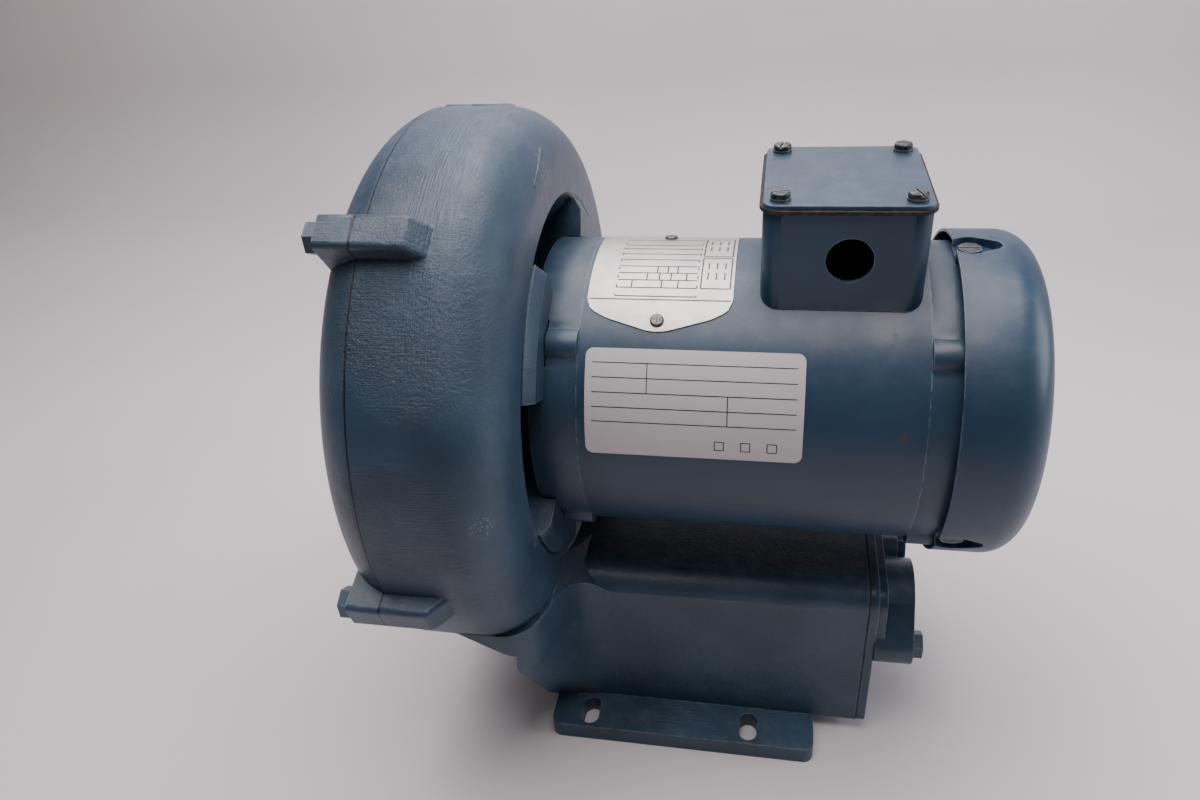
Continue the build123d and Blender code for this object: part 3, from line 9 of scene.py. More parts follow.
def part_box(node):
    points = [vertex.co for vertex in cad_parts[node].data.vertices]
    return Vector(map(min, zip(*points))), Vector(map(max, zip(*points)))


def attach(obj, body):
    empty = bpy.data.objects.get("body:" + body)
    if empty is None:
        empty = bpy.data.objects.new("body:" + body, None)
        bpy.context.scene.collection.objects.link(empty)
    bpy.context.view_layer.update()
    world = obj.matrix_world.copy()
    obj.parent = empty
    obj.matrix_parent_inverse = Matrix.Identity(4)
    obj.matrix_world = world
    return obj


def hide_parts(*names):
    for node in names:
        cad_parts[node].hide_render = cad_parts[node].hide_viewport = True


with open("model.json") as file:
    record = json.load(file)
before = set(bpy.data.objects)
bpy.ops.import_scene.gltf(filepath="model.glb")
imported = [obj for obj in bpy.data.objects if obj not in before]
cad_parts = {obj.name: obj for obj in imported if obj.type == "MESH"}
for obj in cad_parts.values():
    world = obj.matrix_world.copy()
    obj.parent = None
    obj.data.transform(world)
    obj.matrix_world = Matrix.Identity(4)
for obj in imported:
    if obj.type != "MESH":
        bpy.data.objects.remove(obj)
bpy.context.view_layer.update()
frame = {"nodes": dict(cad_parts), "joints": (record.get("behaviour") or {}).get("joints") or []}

mm = 0.001
print("frame loaded:", len(frame["nodes"]), "nodes")

joints = {joint["name"]: joint for joint in frame["joints"]}
axisZ = joints["rotor_spin"]["pos_m"][2]


def linear(hexColour):
    # sRGB hex to the linear values that Blender's sockets take
    values = []
    for i in (1, 3, 5):
        c = int(hexColour[i:i + 2], 16) / 255
        values.append(c / 12.92 if c <= 0.04045 else ((c + 0.055) / 1.055) ** 2.4)
    return (*values, 1.0)


def addNode(tree, kind, settings=None):
    # a setting is a property of the node, or an input by its name or place; a socket or a node
    # given to an input is linked, a node by its first output in use, and None leaves it alone
    node = tree.nodes.new("ShaderNode" + kind)
    inputs = {}
    for key, value in (settings or {}).items():
        if isinstance(key, int) or key in node.inputs:
            inputs[key] = value
        else:
            setattr(node, key, value)
    for key, value in inputs.items():
        if isinstance(value, bpy.types.Node):
            value = next(output for output in value.outputs if output.enabled)
        if isinstance(value, bpy.types.NodeSocket):
            tree.links.new(value, node.inputs[key])
        elif value is not None:
            node.inputs[key].default_value = value
    return node


smooth = {"interpolation_type": "SMOOTHSTEP"}
blend = {"data_type": "RGBA"}  # inputs 0, 6 and 7: share, first and second colour


def startMaterial(name):
    material = bpy.data.materials.new(name)
    material.use_nodes = True
    material.node_tree.nodes.clear()
    add = partial(addNode, material.node_tree)
    return material, add, add("TexCoord").outputs["Object"]


def finishMaterial(add, surface):
    # what is even over the surface stands on the shader's own sockets
    add("OutputMaterial", {"Surface": add("BsdfPrincipled", surface)})


def patches(add, coords, sizeMm, detail, rough, low, high):
    # 1 inside soft patches about sizeMm across, 0 between them
    field = add("TexNoise", {"Vector": coords, "Scale": 1 / (sizeMm * mm), "Detail": detail, "Roughness": rough})
    return add("MapRange", {**smooth, "Value": field, "From Min": low, "From Max": high})


def spotMask(add, coords, spot):
    # 1 at the spot's centre, 0 outside its radius, broken up by noise
    solidShare, cutWidth = 0.2, 0.08
    radius = spot["radius"] * mm
    away = add("VectorMath", {"operation": "DISTANCE", 0: coords, 1: [v * mm for v in spot["at"]]})
    near = add("MapRange", {**smooth, "Value": away, "From Min": radius, "From Max": radius * solidShare})
    speck = patches(add, coords, spot["grain"], 3, 0.6, spot["cut"], spot["cut"] + cutWidth)
    both = add("Math", {"operation": "MULTIPLY", 0: near, 1: speck})
    return add("Math", {"operation": "MULTIPLY", 0: both, 1: spot["strength"]})


def aroundShaft(add, coords):
    # x, angle and radius about the shaft, for marks that run round the casting
    split = add("SeparateXYZ", {0: coords})
    x, side = split.outputs[0], split.outputs[1]
    up = add("Math", {"operation": "SUBTRACT", 0: split.outputs[2], 1: axisZ})
    front = add("Math", {"operation": "MULTIPLY", 0: side, 1: -1.0})
    upSquare = add("Math", {"operation": "MULTIPLY", 0: up, 1: up})
    sideSquare = add("Math", {"operation": "MULTIPLY", 0: side, 1: side})
    square = add("Math", {"operation": "ADD", 0: upSquare, 1: sideSquare})
    turn = add("Math", {"operation": "ARCTAN2", 0: up, 1: front})
    return x, turn, add("Math", {"operation": "SQRT", 0: square})


def edgeMask(add, radiusMm):
    # 1 along sharp outer and inner edges
    soft = add("Bevel", {"samples": 4, "Radius": radiusMm * mm})
    same = add("VectorMath", {"operation": "DOT_PRODUCT", 0: soft, 1: add("NewGeometry").outputs["Normal"]})
    return add("MapRange", {**smooth, "Value": same, "From Min": 0.995, "From Max": 0.9})


def upMask(add):
    # 1 on faces that look up, where dust settles
    facing = add("SeparateXYZ", {0: add("NewGeometry").outputs["Normal"]}).outputs["Z"]
    return add("MapRange", {**smooth, "Value": facing, "From Min": 0.25, "From Max": 1.0})


def capsule(add, coords, start, end, widthMm):
    # 1 near the line from start to end, 0 from widthMm away
    width = widthMm * mm
    a, b = Vector(start) * mm, Vector(end) * mm
    along = (b - a).normalized()
    fromA = add("VectorMath", {"operation": "SUBTRACT", 0: coords, 1: a})
    part = add("VectorMath", {"operation": "DOT_PRODUCT", 0: fromA, 1: along})
    part = add("Clamp", {"Value": part, "Min": 0.0, "Max": (b - a).length})
    nearest = add("VectorMath", {"operation": "SCALE", 0: along, "Scale": part})
    away = add("VectorMath", {"operation": "DISTANCE", 0: fromA, 1: nearest})
    return add("MapRange", {**smooth, "Value": away, "From Min": width, "From Max": width * 0.3})


view = {
    "at": (57.2, -444.1, 501.6),
    "yaw": -12.4,
    "pitch": 32.9,
    "roll": -4.4,
    "lens": 26.79,
    "sensor": 36,
    "shiftX": -0.0068,
    "shiftY": -0.0016,
    "clipStart": 10,
}
yaw, pitch, roll = (math.radians(view[k]) for k in ("yaw", "pitch", "roll"))
ahead = Vector((math.sin(yaw) * math.cos(pitch), math.cos(yaw) * math.cos(pitch), -math.sin(pitch)))
level = Vector((math.cos(yaw), -math.sin(yaw), 0))
upright = level.cross(ahead)
right = math.cos(roll) * level + math.sin(roll) * upright
above = -math.sin(roll) * level + math.cos(roll) * upright
lensData = bpy.data.cameras.new("camera")
lensData.lens = view["lens"]
lensData.sensor_width = view["sensor"]
lensData.shift_x = view["shiftX"]
lensData.shift_y = view["shiftY"]
lensData.clip_start = view["clipStart"] * mm
camera = bpy.data.objects.new("camera", lensData)
facing = Matrix((right, above, -ahead)).transposed().to_4x4()
camera.matrix_world = Matrix.Translation(Vector(view["at"]) * mm) @ facing
bpy.context.scene.collection.objects.link(camera)
bpy.context.scene.camera = camera
print("camera placed")

lights = {
    "overheadSoftbox": {"at": (-80, 60, 1300), "size": 1200, "power": 26.5, "colour": "#fff9f7"},
    "backSoftbox": {"at": (-100, 820, 900), "size": 900, "power": 4.5, "colour": "#eef3ff"},
    "rightSoftbox": {"at": (1200, 60, 620), "size": 700, "power": 7, "colour": "#f4f8ff"},
}
aim = Vector((20, 0, 200)) * mm  # the middle of the blower
for name, setting in lights.items():
    lamp = bpy.data.lights.new(name, "AREA")
    lamp.size = setting["size"] * mm
    lamp.energy = setting["power"]
    lamp.color = linear(setting["colour"])[:3]
    holder = bpy.data.objects.new(name, lamp)
    holder.location = Vector(setting["at"]) * mm
    holder.rotation_euler = (aim - holder.location).to_track_quat("-Z", "Y").to_euler()
    bpy.context.scene.collection.objects.link(holder)

# the room is dim on the near side and brighter behind and above; seen directly, it is an even pale grey
room = {"colour": "#ece6ea", "brightest": (0.0, 0.55, 0.83), "from": -0.3, "to": 0.9, "dim": 0.02, "full": 0.27,
        "seen": 0.42}
world = bpy.data.worlds.new("room")
bpy.context.scene.world = world
world.use_nodes = True
background = world.node_tree.nodes["Background"]
background.inputs["Color"].default_value = linear(room["colour"])
addRoom = partial(addNode, world.node_tree)
towards = addRoom("TexCoord").outputs["Generated"]
facingBright = addRoom("VectorMath", {"operation": "DOT_PRODUCT", 0: towards, 1: room["brightest"]})
roomLight = addRoom("MapRange", {"Value": facingBright, "From Min": room["from"], "From Max": room["to"],
                                 "To Min": room["dim"], "To Max": room["full"]})
seen = addRoom("LightPath").outputs["Is Camera Ray"]
strength = addRoom("Mix", {"data_type": "FLOAT", 0: seen, 2: roomLight, 3: room["seen"]})
world.node_tree.links.new(strength.outputs[0], background.inputs["Strength"])

sweep = {"near": -2600, "back": 950, "radius": 180, "steps": 12, "top": 1400, "half": 3000, "colour": "#d4cdd0",
         "cloud": "#dad4d6", "cloudSize": 400, "roughness": 0.75, "grain": 1.2, "grainDepth": 0.05}


def makeSweep():
    # a floor that curves up into a backdrop
    radius = sweep["radius"]
    path = [(sweep["near"], 0), (sweep["back"] - radius, 0)]
    for i in range(1, sweep["steps"] + 1):
        t = math.radians(90 / sweep["steps"] * i)
        path.append((sweep["back"] - radius * (1 - math.sin(t)), radius * (1 - math.cos(t))))
    path.append((sweep["back"], sweep["top"]))
    mesh = bpy.data.meshes.new("floorSweep")
    verts = [(sx * sweep["half"] * mm, y * mm, z * mm) for y, z in path for sx in (-1, 1)]
    faces = [(2 * i, 2 * i + 1, 2 * i + 3, 2 * i + 2) for i in range(len(path) - 1)]
    mesh.from_pydata(verts, [], faces)
    mesh.shade_smooth()
    floor = bpy.data.objects.new("floorSweep", mesh)
    bpy.context.scene.collection.objects.link(floor)
    # matt painted board: even, with faint broad clouds
    material, add, coords = startMaterial("paintedBoardFloor")
    cloud = patches(add, coords, sweep["cloudSize"], 3, 0.5, 0.3, 0.7)
    colour = add("Mix", {**blend, 0: cloud, 6: linear(sweep["colour"]), 7: linear(sweep["cloud"])})
    grain = add("TexNoise", {"Vector": coords, "Scale": 1 / (sweep["grain"] * mm), "Detail": 2.0, "Roughness": 0.5})
    normal = add("Bump", {"Strength": 1.0, "Distance": sweep["grainDepth"] * mm, "Height": grain})
    finishMaterial(add, {"Base Color": colour, "Roughness": sweep["roughness"], "Normal": normal})
    mesh.materials.append(material)
    return floor


makeSweep()
print("lights and floor placed")

# what every enamelled piece shares: sizes in mm, shares from 0 to 1
enamel = {
    "castDeep": "#26394b",
    "castLight": "#32495e",
    "steelDeep": "#22384d",
    "steelLight": "#2a425a",
    "cloudSize": 55,
    "dust": "#8d8f90",
    "dustSize": 9,
    "dustShare": 0.12,
    "worn": "#8497a5",
    "wornSize": 5,
    "wornEdge": 1.2,
    "wornShare": 0.6,
    "seam": "#0e1318",
    "roughness": 0.42,
    "roughSpread": 0.16,
    "roughSize": 14,
    "spotRougher": 0.2,
    "coat": 0.08,
    "coatRoughness": 0.25,
}
# marks on the sand casting: lengths in mm, places from the frame's origin, angles in radians up from the front
marks = {
    "rim": (150, 153),
    "rimRadius": 155,
    "strokeStretch": 0.04,
    "alongSize": 0.9,
    "alongPatch": 42,
    "alongDepth": 0.5,
    "roundSize": 1.0,
    "roundFrom": (-118, -100),
    "roundTo": (-78, -92),
    "roundTurn": (0.35, 0.75),
    "roundDepth": 0.65,
    "streakShare": 0.18,
    # the joint between cover and housing, and where its dark line stops, measured from the shaft
    "seamX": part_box("blower_housing")[0][0] / mm,
    "seamHalf": 0.55,
    "seamSoft": 0.3,
    "seamInner": 146.0,
    "seamShare": 0.95,
    "seamDepth": 0.5,
    "fin": ((-63.5, -26.8, 350.3), (-66.1, 0.8, 359.7)),
    "finWidth": 1.7,
    "finDepth": 1.1,
    "pitsAt": (-98, -118, 318),
    "pitsReach": (60, 20),
    "pitSize": 2.2,
    "pitDepth": 1.4,
}


def fileMarks(add, coords, x, turn, radius, colour, normal):
    # file strokes along the shaft, and round the rim near the shoulder
    low, high = marks["rim"]
    onRim = add("MapRange", {**smooth, "Value": radius, "From Min": low * mm, "From Max": high * mm})
    arc = add("Math", {"operation": "MULTIPLY", 0: turn, 1: marks["rimRadius"] * mm})
    slowX = add("Math", {"operation": "MULTIPLY", 0: x, 1: marks["strokeStretch"]})
    slowArc = add("Math", {"operation": "MULTIPLY", 0: arc, 1: marks["strokeStretch"]})
    along = add("CombineXYZ", {0: slowX, 1: arc})
    around = add("CombineXYZ", {0: x, 1: slowArc})
    strokesAlong = add("TexNoise", {"Vector": along, "Scale": 1 / (marks["alongSize"] * mm), "Detail": 2,
                                    "Roughness": 0.7})
    strokesRound = add("TexNoise", {"Vector": around, "Scale": 1 / (marks["roundSize"] * mm), "Detail": 2,
                                    "Roughness": 0.7})
    patch = patches(add, coords, marks["alongPatch"], 2, 0.5, 0.42, 0.6)
    whereAlong = add("Math", {"operation": "MULTIPLY", 0: patch, 1: onRim})
    # the strokes round the rim keep to a band of it, high on the front
    low, high = marks["roundFrom"]
    bandStart = add("MapRange", {**smooth, "Value": x, "From Min": low * mm, "From Max": high * mm})
    low, high = marks["roundTo"]
    bandEnd = add("MapRange", {**smooth, "Value": x, "From Min": low * mm, "From Max": high * mm})
    low, high = marks["roundTurn"]
    upFront = add("MapRange", {**smooth, "Value": turn, "From Min": low, "From Max": high})
    whereRound = add("Math", {"operation": "MULTIPLY", 0: bandStart, 1: bandEnd})
    whereRound = add("Math", {"operation": "MULTIPLY", 0: whereRound, 1: upFront})
    height = add("Math", {"operation": "MULTIPLY", 0: strokesAlong, 1: whereAlong})
    normal = add("Bump", {"Strength": 1.0, "Distance": marks["alongDepth"] * mm, "Height": height,
                          "Normal": normal})
    height = add("Math", {"operation": "MULTIPLY", 0: strokesRound, 1: whereRound})
    normal = add("Bump", {"Strength": 1.0, "Distance": marks["roundDepth"] * mm, "Height": height,
                          "Normal": normal})
    streak = add("MapRange", {**smooth, "Value": strokesRound, "From Min": 0.55, "From Max": 0.7})
    streak = add("Math", {"operation": "MULTIPLY", 0: streak, 1: whereRound})
    streak = add("Math", {"operation": "MULTIPLY", 0: streak, 1: marks["streakShare"]})
    return add("Mix", {**blend, 0: streak, 6: colour, 7: linear(enamel["worn"])}), normal


def jointLine(add, coords, x, radius, colour, normal):
    # the enamel has cracked open along the joint, which shows as a dark line
    half, soft, inner = marks["seamHalf"], marks["seamSoft"], marks["seamInner"]
    offJoint = add("Math", {"operation": "SUBTRACT", 0: x, 1: marks["seamX"] * mm})
    offJoint = add("Math", {"operation": "ABSOLUTE", 0: offJoint})
    wander = add("TexNoise", {"Vector": coords, "Scale": 1 / (6 * mm), "Detail": 3, "Roughness": 0.6})
    wander = add("Math", {"operation": "MULTIPLY", 0: wander, 1: soft * mm})
    away = add("Math", {"operation": "ADD", 0: offJoint, 1: wander})
    line = add("MapRange", {**smooth, "Value": away, "From Min": (half + soft) * mm, "From Max": half * mm})
    outside = add("MapRange", {**smooth, "Value": radius, "From Min": inner * mm, "From Max": (inner + 2) * mm})
    line = add("Math", {"operation": "MULTIPLY", 0: line, 1: outside})
    share = add("Math", {"operation": "MULTIPLY", 0: line, 1: marks["seamShare"]})
    colour = add("Mix", {**blend, 0: share, 6: colour, 7: linear(enamel["seam"])})
    height = add("Math", {"operation": "SUBTRACT", 0: 1.0, 1: line})
    normal = add("Bump", {"Strength": 1.0, "Distance": marks["seamDepth"] * mm, "Height": height,
                          "Normal": normal})
    return colour, normal


def castMarks(add, coords, colour, normal):
    x, turn, radius = aroundShaft(add, coords)
    colour, normal = fileMarks(add, coords, x, turn, radius, colour, normal)
    colour, normal = jointLine(add, coords, x, radius, colour, normal)
    # a fin of metal left by the mould, high on the shoulder
    fin = capsule(add, coords, *marks["fin"], marks["finWidth"])
    normal = add("Bump", {"Strength": 1.0, "Distance": marks["finDepth"] * mm, "Height": fin, "Normal": normal})
    # coarse pitted patch of cast skin on the front of the rim
    away = add("VectorMath", {"operation": "DISTANCE", 0: coords, 1: [v * mm for v in marks["pitsAt"]]})
    outer, inner = marks["pitsReach"]
    near = add("MapRange", {**smooth, "Value": away, "From Min": outer * mm, "From Max": inner * mm})
    pits = add("TexNoise", {"Vector": coords, "Scale": 1 / (marks["pitSize"] * mm), "Detail": 4, "Roughness": 0.75})
    pits = add("Math", {"operation": "MULTIPLY", 0: near, 1: pits})
    normal = add("Bump", {"Strength": 1.0, "Distance": marks["pitDepth"] * mm, "Height": pits, "Normal": normal})
    return colour, normal


def enamelMaterial(name, coat):
    # coat: deep and light colour, relief as (size, detail, roughness, depth), marks, spots, one of which on the
    # steel is a painted highlight
    material, add, coords = startMaterial(name)
    cloud = patches(add, coords, enamel["cloudSize"], 4, 0.6, 0.3, 0.72)
    colour = add("Mix", {**blend, 0: cloud, 6: linear(coat["deep"]), 7: linear(coat["light"])})
    dust = patches(add, coords, enamel["dustSize"], 5, 0.65, 0.42, 0.75)
    dust = add("Math", {"operation": "MULTIPLY", 0: upMask(add), 1: dust})
    dust = add("Math", {"operation": "MULTIPLY", 0: dust, 1: enamel["dustShare"]})
    colour = add("Mix", {**blend, 0: dust, 6: colour, 7: linear(enamel["dust"])})
    worn = patches(add, coords, enamel["wornSize"], 4, 0.7, 0.38, 0.6)
    worn = add("Math", {"operation": "MULTIPLY", 0: edgeMask(add, enamel["wornEdge"]), 1: worn})
    worn = add("Math", {"operation": "MULTIPLY", 0: worn, 1: enamel["wornShare"]})
    colour = add("Mix", {**blend, 0: worn, 6: colour, 7: linear(enamel["worn"])})
    rough = add("TexNoise", {"Vector": coords, "Scale": 1 / (enamel["roughSize"] * mm), "Detail": 4,
                             "Roughness": 0.6})
    rough = add("Math", {"operation": "MULTIPLY", 0: rough, 1: enamel["roughSpread"]})
    rough = add("Math", {"operation": "ADD", 0: rough, 1: enamel["roughness"] - enamel["roughSpread"] / 2})
    # each spot mixes its colour in and roughens the coat; on the steel one spot is a painted highlight
    for spot in coat.get("spots", ()):
        mask = spotMask(add, coords, spot)
        colour = add("Mix", {**blend, 0: mask, 6: colour, 7: linear(spot["colour"])})
        rougher = add("Math", {"operation": "MULTIPLY", 0: mask, 1: enamel["spotRougher"]})
        rough = add("Math", {"operation": "ADD", 0: rough, 1: rougher})
    normal = None
    for sizeMm, detail, roughness, depthMm in coat["relief"]:
        height = add("TexNoise", {"Vector": coords, "Scale": 1 / (sizeMm * mm), "Detail": detail,
                                  "Roughness": roughness})
        normal = add("Bump", {"Strength": 1.0, "Distance": depthMm * mm, "Height": height, "Normal": normal})
    if coat.get("marks"):
        colour, normal = castMarks(add, coords, colour, normal)
    finishMaterial(add, {"Base Color": colour, "Roughness": rough, "Normal": normal,
                         "Coat Weight": enamel["coat"], "Coat Roughness": enamel["coatRoughness"]})
    return material


cast = {"deep": enamel["castDeep"], "light": enamel["castLight"]}
steel = {"deep": enamel["steelDeep"], "light": enamel["steelLight"]}
# air-dried enamel over a sand casting: the grain of the sand shows through, with file strokes on the rim
enamelOverSandCasting = enamelMaterial("enamelOverSandCasting", {
    **cast, "relief": ((1.3, 3, 0.6, 0.3), (11, 3, 0.55, 0.45)), "marks": True, "spots": (
        {"at": (-72, -146, 229), "radius": 10, "grain": 1.4, "cut": 0.55, "strength": 0.5, "colour": "#98a3ab"},
        {"at": (-62.4, -105, 187), "radius": 8, "grain": 2.4, "cut": 0.5, "strength": 0.3, "colour": "#8a979f"},
        {"at": (-64, -8, 352), "radius": 14, "grain": 3.0, "cut": 0.5, "strength": 0.35, "colour": "#8a979f"},
    )})
# the same enamel over a finer permanent-mould casting
enamelOverDieCasting = enamelMaterial("enamelOverDieCasting", {
    **cast, "relief": ((0.8, 3, 0.6, 0.07), (11, 3, 0.55, 0.25), (2.2, 1, 0.4, 0.05))})
# the same enamel on smooth rolled and pressed steel: only a faint orange peel, with a painted highlight high on the
# shell
enamelOverRolledSteel = enamelMaterial("enamelOverRolledSteel", {
    **steel, "relief": ((0.5, 3, 0.6, 0.015), (11, 3, 0.55, 0.1), (2.2, 1, 0.4, 0.05)), "spots": (
        # painted highlight: a pale, grainy glare patch high on the shell, painted in for the lamps' sheen
        {"at": (110, -49.7, 288.5), "radius": 15, "grain": 9.0, "cut": 0.36, "strength": 0.22, "colour": "#9c9a9b"},
        {"at": (120.5, -79.4, 245), "radius": 4, "grain": 2.0, "cut": 0.44, "strength": 0.7, "colour": "#5b4338"},
    )})
# the same enamel on cold-headed bolts: thin and nearly smooth
enamelOverBolt = enamelMaterial("enamelOverBolt", {**cast, "relief": ((0.5, 3, 0.6, 0.04), (2.2, 1, 0.4, 0.03))})


def plainMaterial(name, s):
    # s: colour, second, metallic, roughness, spread, grain (mm), depth (mm), and where it needs them
    # stretch (x, y, z), cloud (mm), edge (colour) and ior
    material, add, coords = startMaterial(name)
    stretched = add("Mapping", {"vector_type": "POINT", "Scale": s.get("stretch", (1, 1, 1)), "Vector": coords})
    field = add("TexNoise", {"Vector": stretched, "Scale": 1 / (s["grain"] * mm), "Detail": 4, "Roughness": 0.6})
    broad = patches(add, coords, s.get("cloud", 18), 4, 0.6, 0.35, 0.68)
    colour = add("Mix", {**blend, 0: broad, 6: linear(s["colour"]), 7: linear(s["second"])})
    if "edge" in s:
        edge = add("Math", {"operation": "MULTIPLY", 0: edgeMask(add, 0.7), 1: 0.8})
        colour = add("Mix", {**blend, 0: edge, 6: colour, 7: linear(s["edge"])})
    rough = add("Math", {"operation": "MULTIPLY", 0: field, 1: s["spread"]})
    rough = add("Math", {"operation": "ADD", 0: rough, 1: s["roughness"] - s["spread"] / 2})
    normal = add("Bump", {"Strength": 1.0, "Distance": s["depth"] * mm, "Height": field})
    finishMaterial(add, {"Base Color": colour, "Roughness": rough, "Normal": normal, "Metallic": s["metallic"],
                         "IOR": s.get("ior")})
    return material


# bare sand-cast aluminium: dull, slightly mottled
castAluminium = plainMaterial("sandCastAluminium", {"colour": "#a4a6a8", "second": "#8f9294", "metallic": 1.0,
                              "roughness": 0.5, "spread": 0.2, "grain": 1.2, "depth": 0.08})
# rolled aluminium sheet with a clear coat, bright with fine rolling lines along the shaft
printedAluminium = plainMaterial("rolledAluminiumSheet", {"colour": "#c4c0bc", "second": "#b4b0ae",
                                 "metallic": 0.65, "roughness": 0.38, "spread": 0.12, "grain": 0.8, "depth": 0.008,
                                 "stretch": (0.05, 1, 1)})
# turned steel: fine tool rings round the shaft
turnedSteel = plainMaterial("turnedSteel", {"colour": "#8e9092", "second": "#7b7d80", "metallic": 1.0,
                            "roughness": 0.32, "spread": 0.15, "grain": 0.7, "depth": 0.01,
                            "stretch": (1, 0.04, 0.04)})
# ground bearing steel: close to a mirror
groundSteel = plainMaterial("groundBearingSteel", {"colour": "#b8babd", "second": "#aeb0b4", "metallic": 1.0,
                            "roughness": 0.16, "spread": 0.06, "grain": 0.6, "depth": 0.002})
# pressed and perforated sheet
pressedSteel = plainMaterial("pressedSheetSteel", {"colour": "#8f9294", "second": "#7c7f80", "metallic": 1.0,
                             "roughness": 0.4, "spread": 0.15, "grain": 1.5, "depth": 0.02})
# silicon-steel sheets stacked along the shaft: 0.5 mm sheets drawn three times as thick so that they show
stackedSheets = plainMaterial("stackedSiliconSteel", {"colour": "#4a4b4d", "second": "#3c3d3f", "metallic": 0.9,
                              "roughness": 0.55, "spread": 0.2, "grain": 1.5, "depth": 0.12,
                              "stretch": (1, 0.01, 0.01)})
# black-oxide screws with oil and paint in the slots
blackOxide = plainMaterial("blackOxideSteel", {"colour": "#33373b", "second": "#6a6d6e", "metallic": 0.8,
                           "roughness": 0.42, "spread": 0.3, "grain": 0.8, "depth": 0.06, "cloud": 3,
                           "edge": "#b9bcbd"})
# steel drive rivet, dulled and pitted
dulledSteel = plainMaterial("dulledRivetSteel", {"colour": "#77736f", "second": "#4d4a48", "metallic": 0.9,
                            "roughness": 0.45, "spread": 0.25, "grain": 0.9, "depth": 0.15, "cloud": 1.5})
# enamelled brass screw for the earth lead: smooth and glossy
greenEnamel = plainMaterial("greenEnamelScrew", {"colour": "#1e5f31", "second": "#2a6f3c", "metallic": 0.0,
                            "roughness": 0.35, "spread": 0.1, "grain": 0.9, "depth": 0.02})
# moulded nitrile rubber, dusty
nitrileRubber = plainMaterial("mouldedNitrileRubber", {"colour": "#1b1c1d", "second": "#2c2b2a", "metallic": 0.0,
                              "roughness": 0.72, "spread": 0.2, "grain": 1.1, "depth": 0.25, "ior": 1.52,
                              "cloud": 6})
# pressed cork-rubber sheet: ragged, with granules 1 mm across
corkRubber = plainMaterial("cutCorkRubberSheet", {"colour": "#1e1d1c", "second": "#3a3733", "metallic": 0.0,
                           "roughness": 0.8, "spread": 0.2, "grain": 1.3, "depth": 0.5, "cloud": 3})
# glass-filled nylon, moulded
mouldedNylon = plainMaterial("mouldedNylon", {"colour": "#1d1f21", "second": "#26282a", "metallic": 0.0,
                             "roughness": 0.5, "spread": 0.15, "grain": 0.8, "depth": 0.04, "ior": 1.53})
# open-cell foam: dull and coarsely pitted
openFoam = plainMaterial("openCellFoam", {"colour": "#2a2a29", "second": "#1d1d1d", "metallic": 0.0,
                         "roughness": 0.95, "spread": 0.05, "grain": 1.6, "depth": 0.9})

winding = {"colour": "#8a4a22", "second": "#6d3517", "cloud": 7, "pitch": 1.6, "depth": 0.3, "metallic": 0.6,
           "roughness": 0.35}


def windingMaterial():
    # varnished copper wire, wound round the shaft: 1 mm wire drawn 1.6 mm so that it shows
    material, add, coords = startMaterial("varnishedCopperWire")
    x, turn, radius = aroundShaft(add, coords)
    lay = add("Math", {"operation": "ADD", 0: radius, 1: x})
    lay = add("Math", {"operation": "MULTIPLY", 0: lay, 1: 2 * math.pi / (winding["pitch"] * mm)})
    cloud = patches(add, coords, winding["cloud"], 3, 0.5, 0.3, 0.7)
    colour = add("Mix", {**blend, 0: cloud, 6: linear(winding["colour"]), 7: linear(winding["second"])})
    normal = add("Bump", {"Strength": 1.0, "Distance": winding["depth"] * mm,
                          "Height": add("Math", {"operation": "SINE", 0: lay})})
    finishMaterial(add, {"Base Color": colour, "Normal": normal, "Metallic": winding["metallic"],
                         "Roughness": winding["roughness"]})
    return material


film = {"colour": "#c4bfc2", "soil": "#96918f", "soilShare": 0.22, "fleck": "#8a8584", "fleckShare": 0.3,
        "roughness": 0.27, "spread": 0.14, "waveSize": 9, "waveDepth": 0.12}


def labelMaterial():
    # printed vinyl film with a soft gloss, faintly soiled
    material, add, coords = startMaterial("glossVinylFilm")
    soil = patches(add, coords, 5, 5, 0.7, 0.55, 0.8)
    soil = add("Math", {"operation": "MULTIPLY", 0: soil, 1: film["soilShare"]})
    colour = add("Mix", {**blend, 0: soil, 6: linear(film["colour"]), 7: linear(film["soil"])})
    fleck = patches(add, coords, 0.8, 2, 0.7, 0.68, 0.76)
    fleck = add("Math", {"operation": "MULTIPLY", 0: fleck, 1: film["fleckShare"]})
    colour = add("Mix", {**blend, 0: fleck, 6: colour, 7: linear(film["fleck"])})
    rough = add("TexNoise", {"Vector": coords, "Scale": 1 / (8 * mm), "Detail": 3, "Roughness": 0.5})
    rough = add("Math", {"operation": "MULTIPLY", 0: rough, 1: film["spread"]})
    rough = add("Math", {"operation": "ADD", 0: rough, 1: film["roughness"]})
    wave = add("TexNoise", {"Vector": coords, "Scale": 1 / (film["waveSize"] * mm), "Detail": 2, "Roughness": 0.5})
    normal = add("Bump", {"Strength": 1.0, "Distance": film["waveDepth"] * mm, "Height": wave})
    finishMaterial(add, {"Base Color": colour, "Roughness": rough, "Normal": normal})
    return material


def inkMaterial():
    # black ink printed on metal and film: matt, thinner in places
    material, add, coords = startMaterial("printedBlackInk")
    thin = patches(add, coords, 0.7, 3, 0.7, 0.35, 0.75)
    colour = add("Mix", {**blend, 0: thin, 6: linear("#0c0c0c"), 7: linear("#2c2b2b")})
    finishMaterial(add, {"Base Color": colour, "Roughness": 0.5})
    return material


copperWire = windingMaterial()
vinylFilm = labelMaterial()
blackInk = inkMaterial()

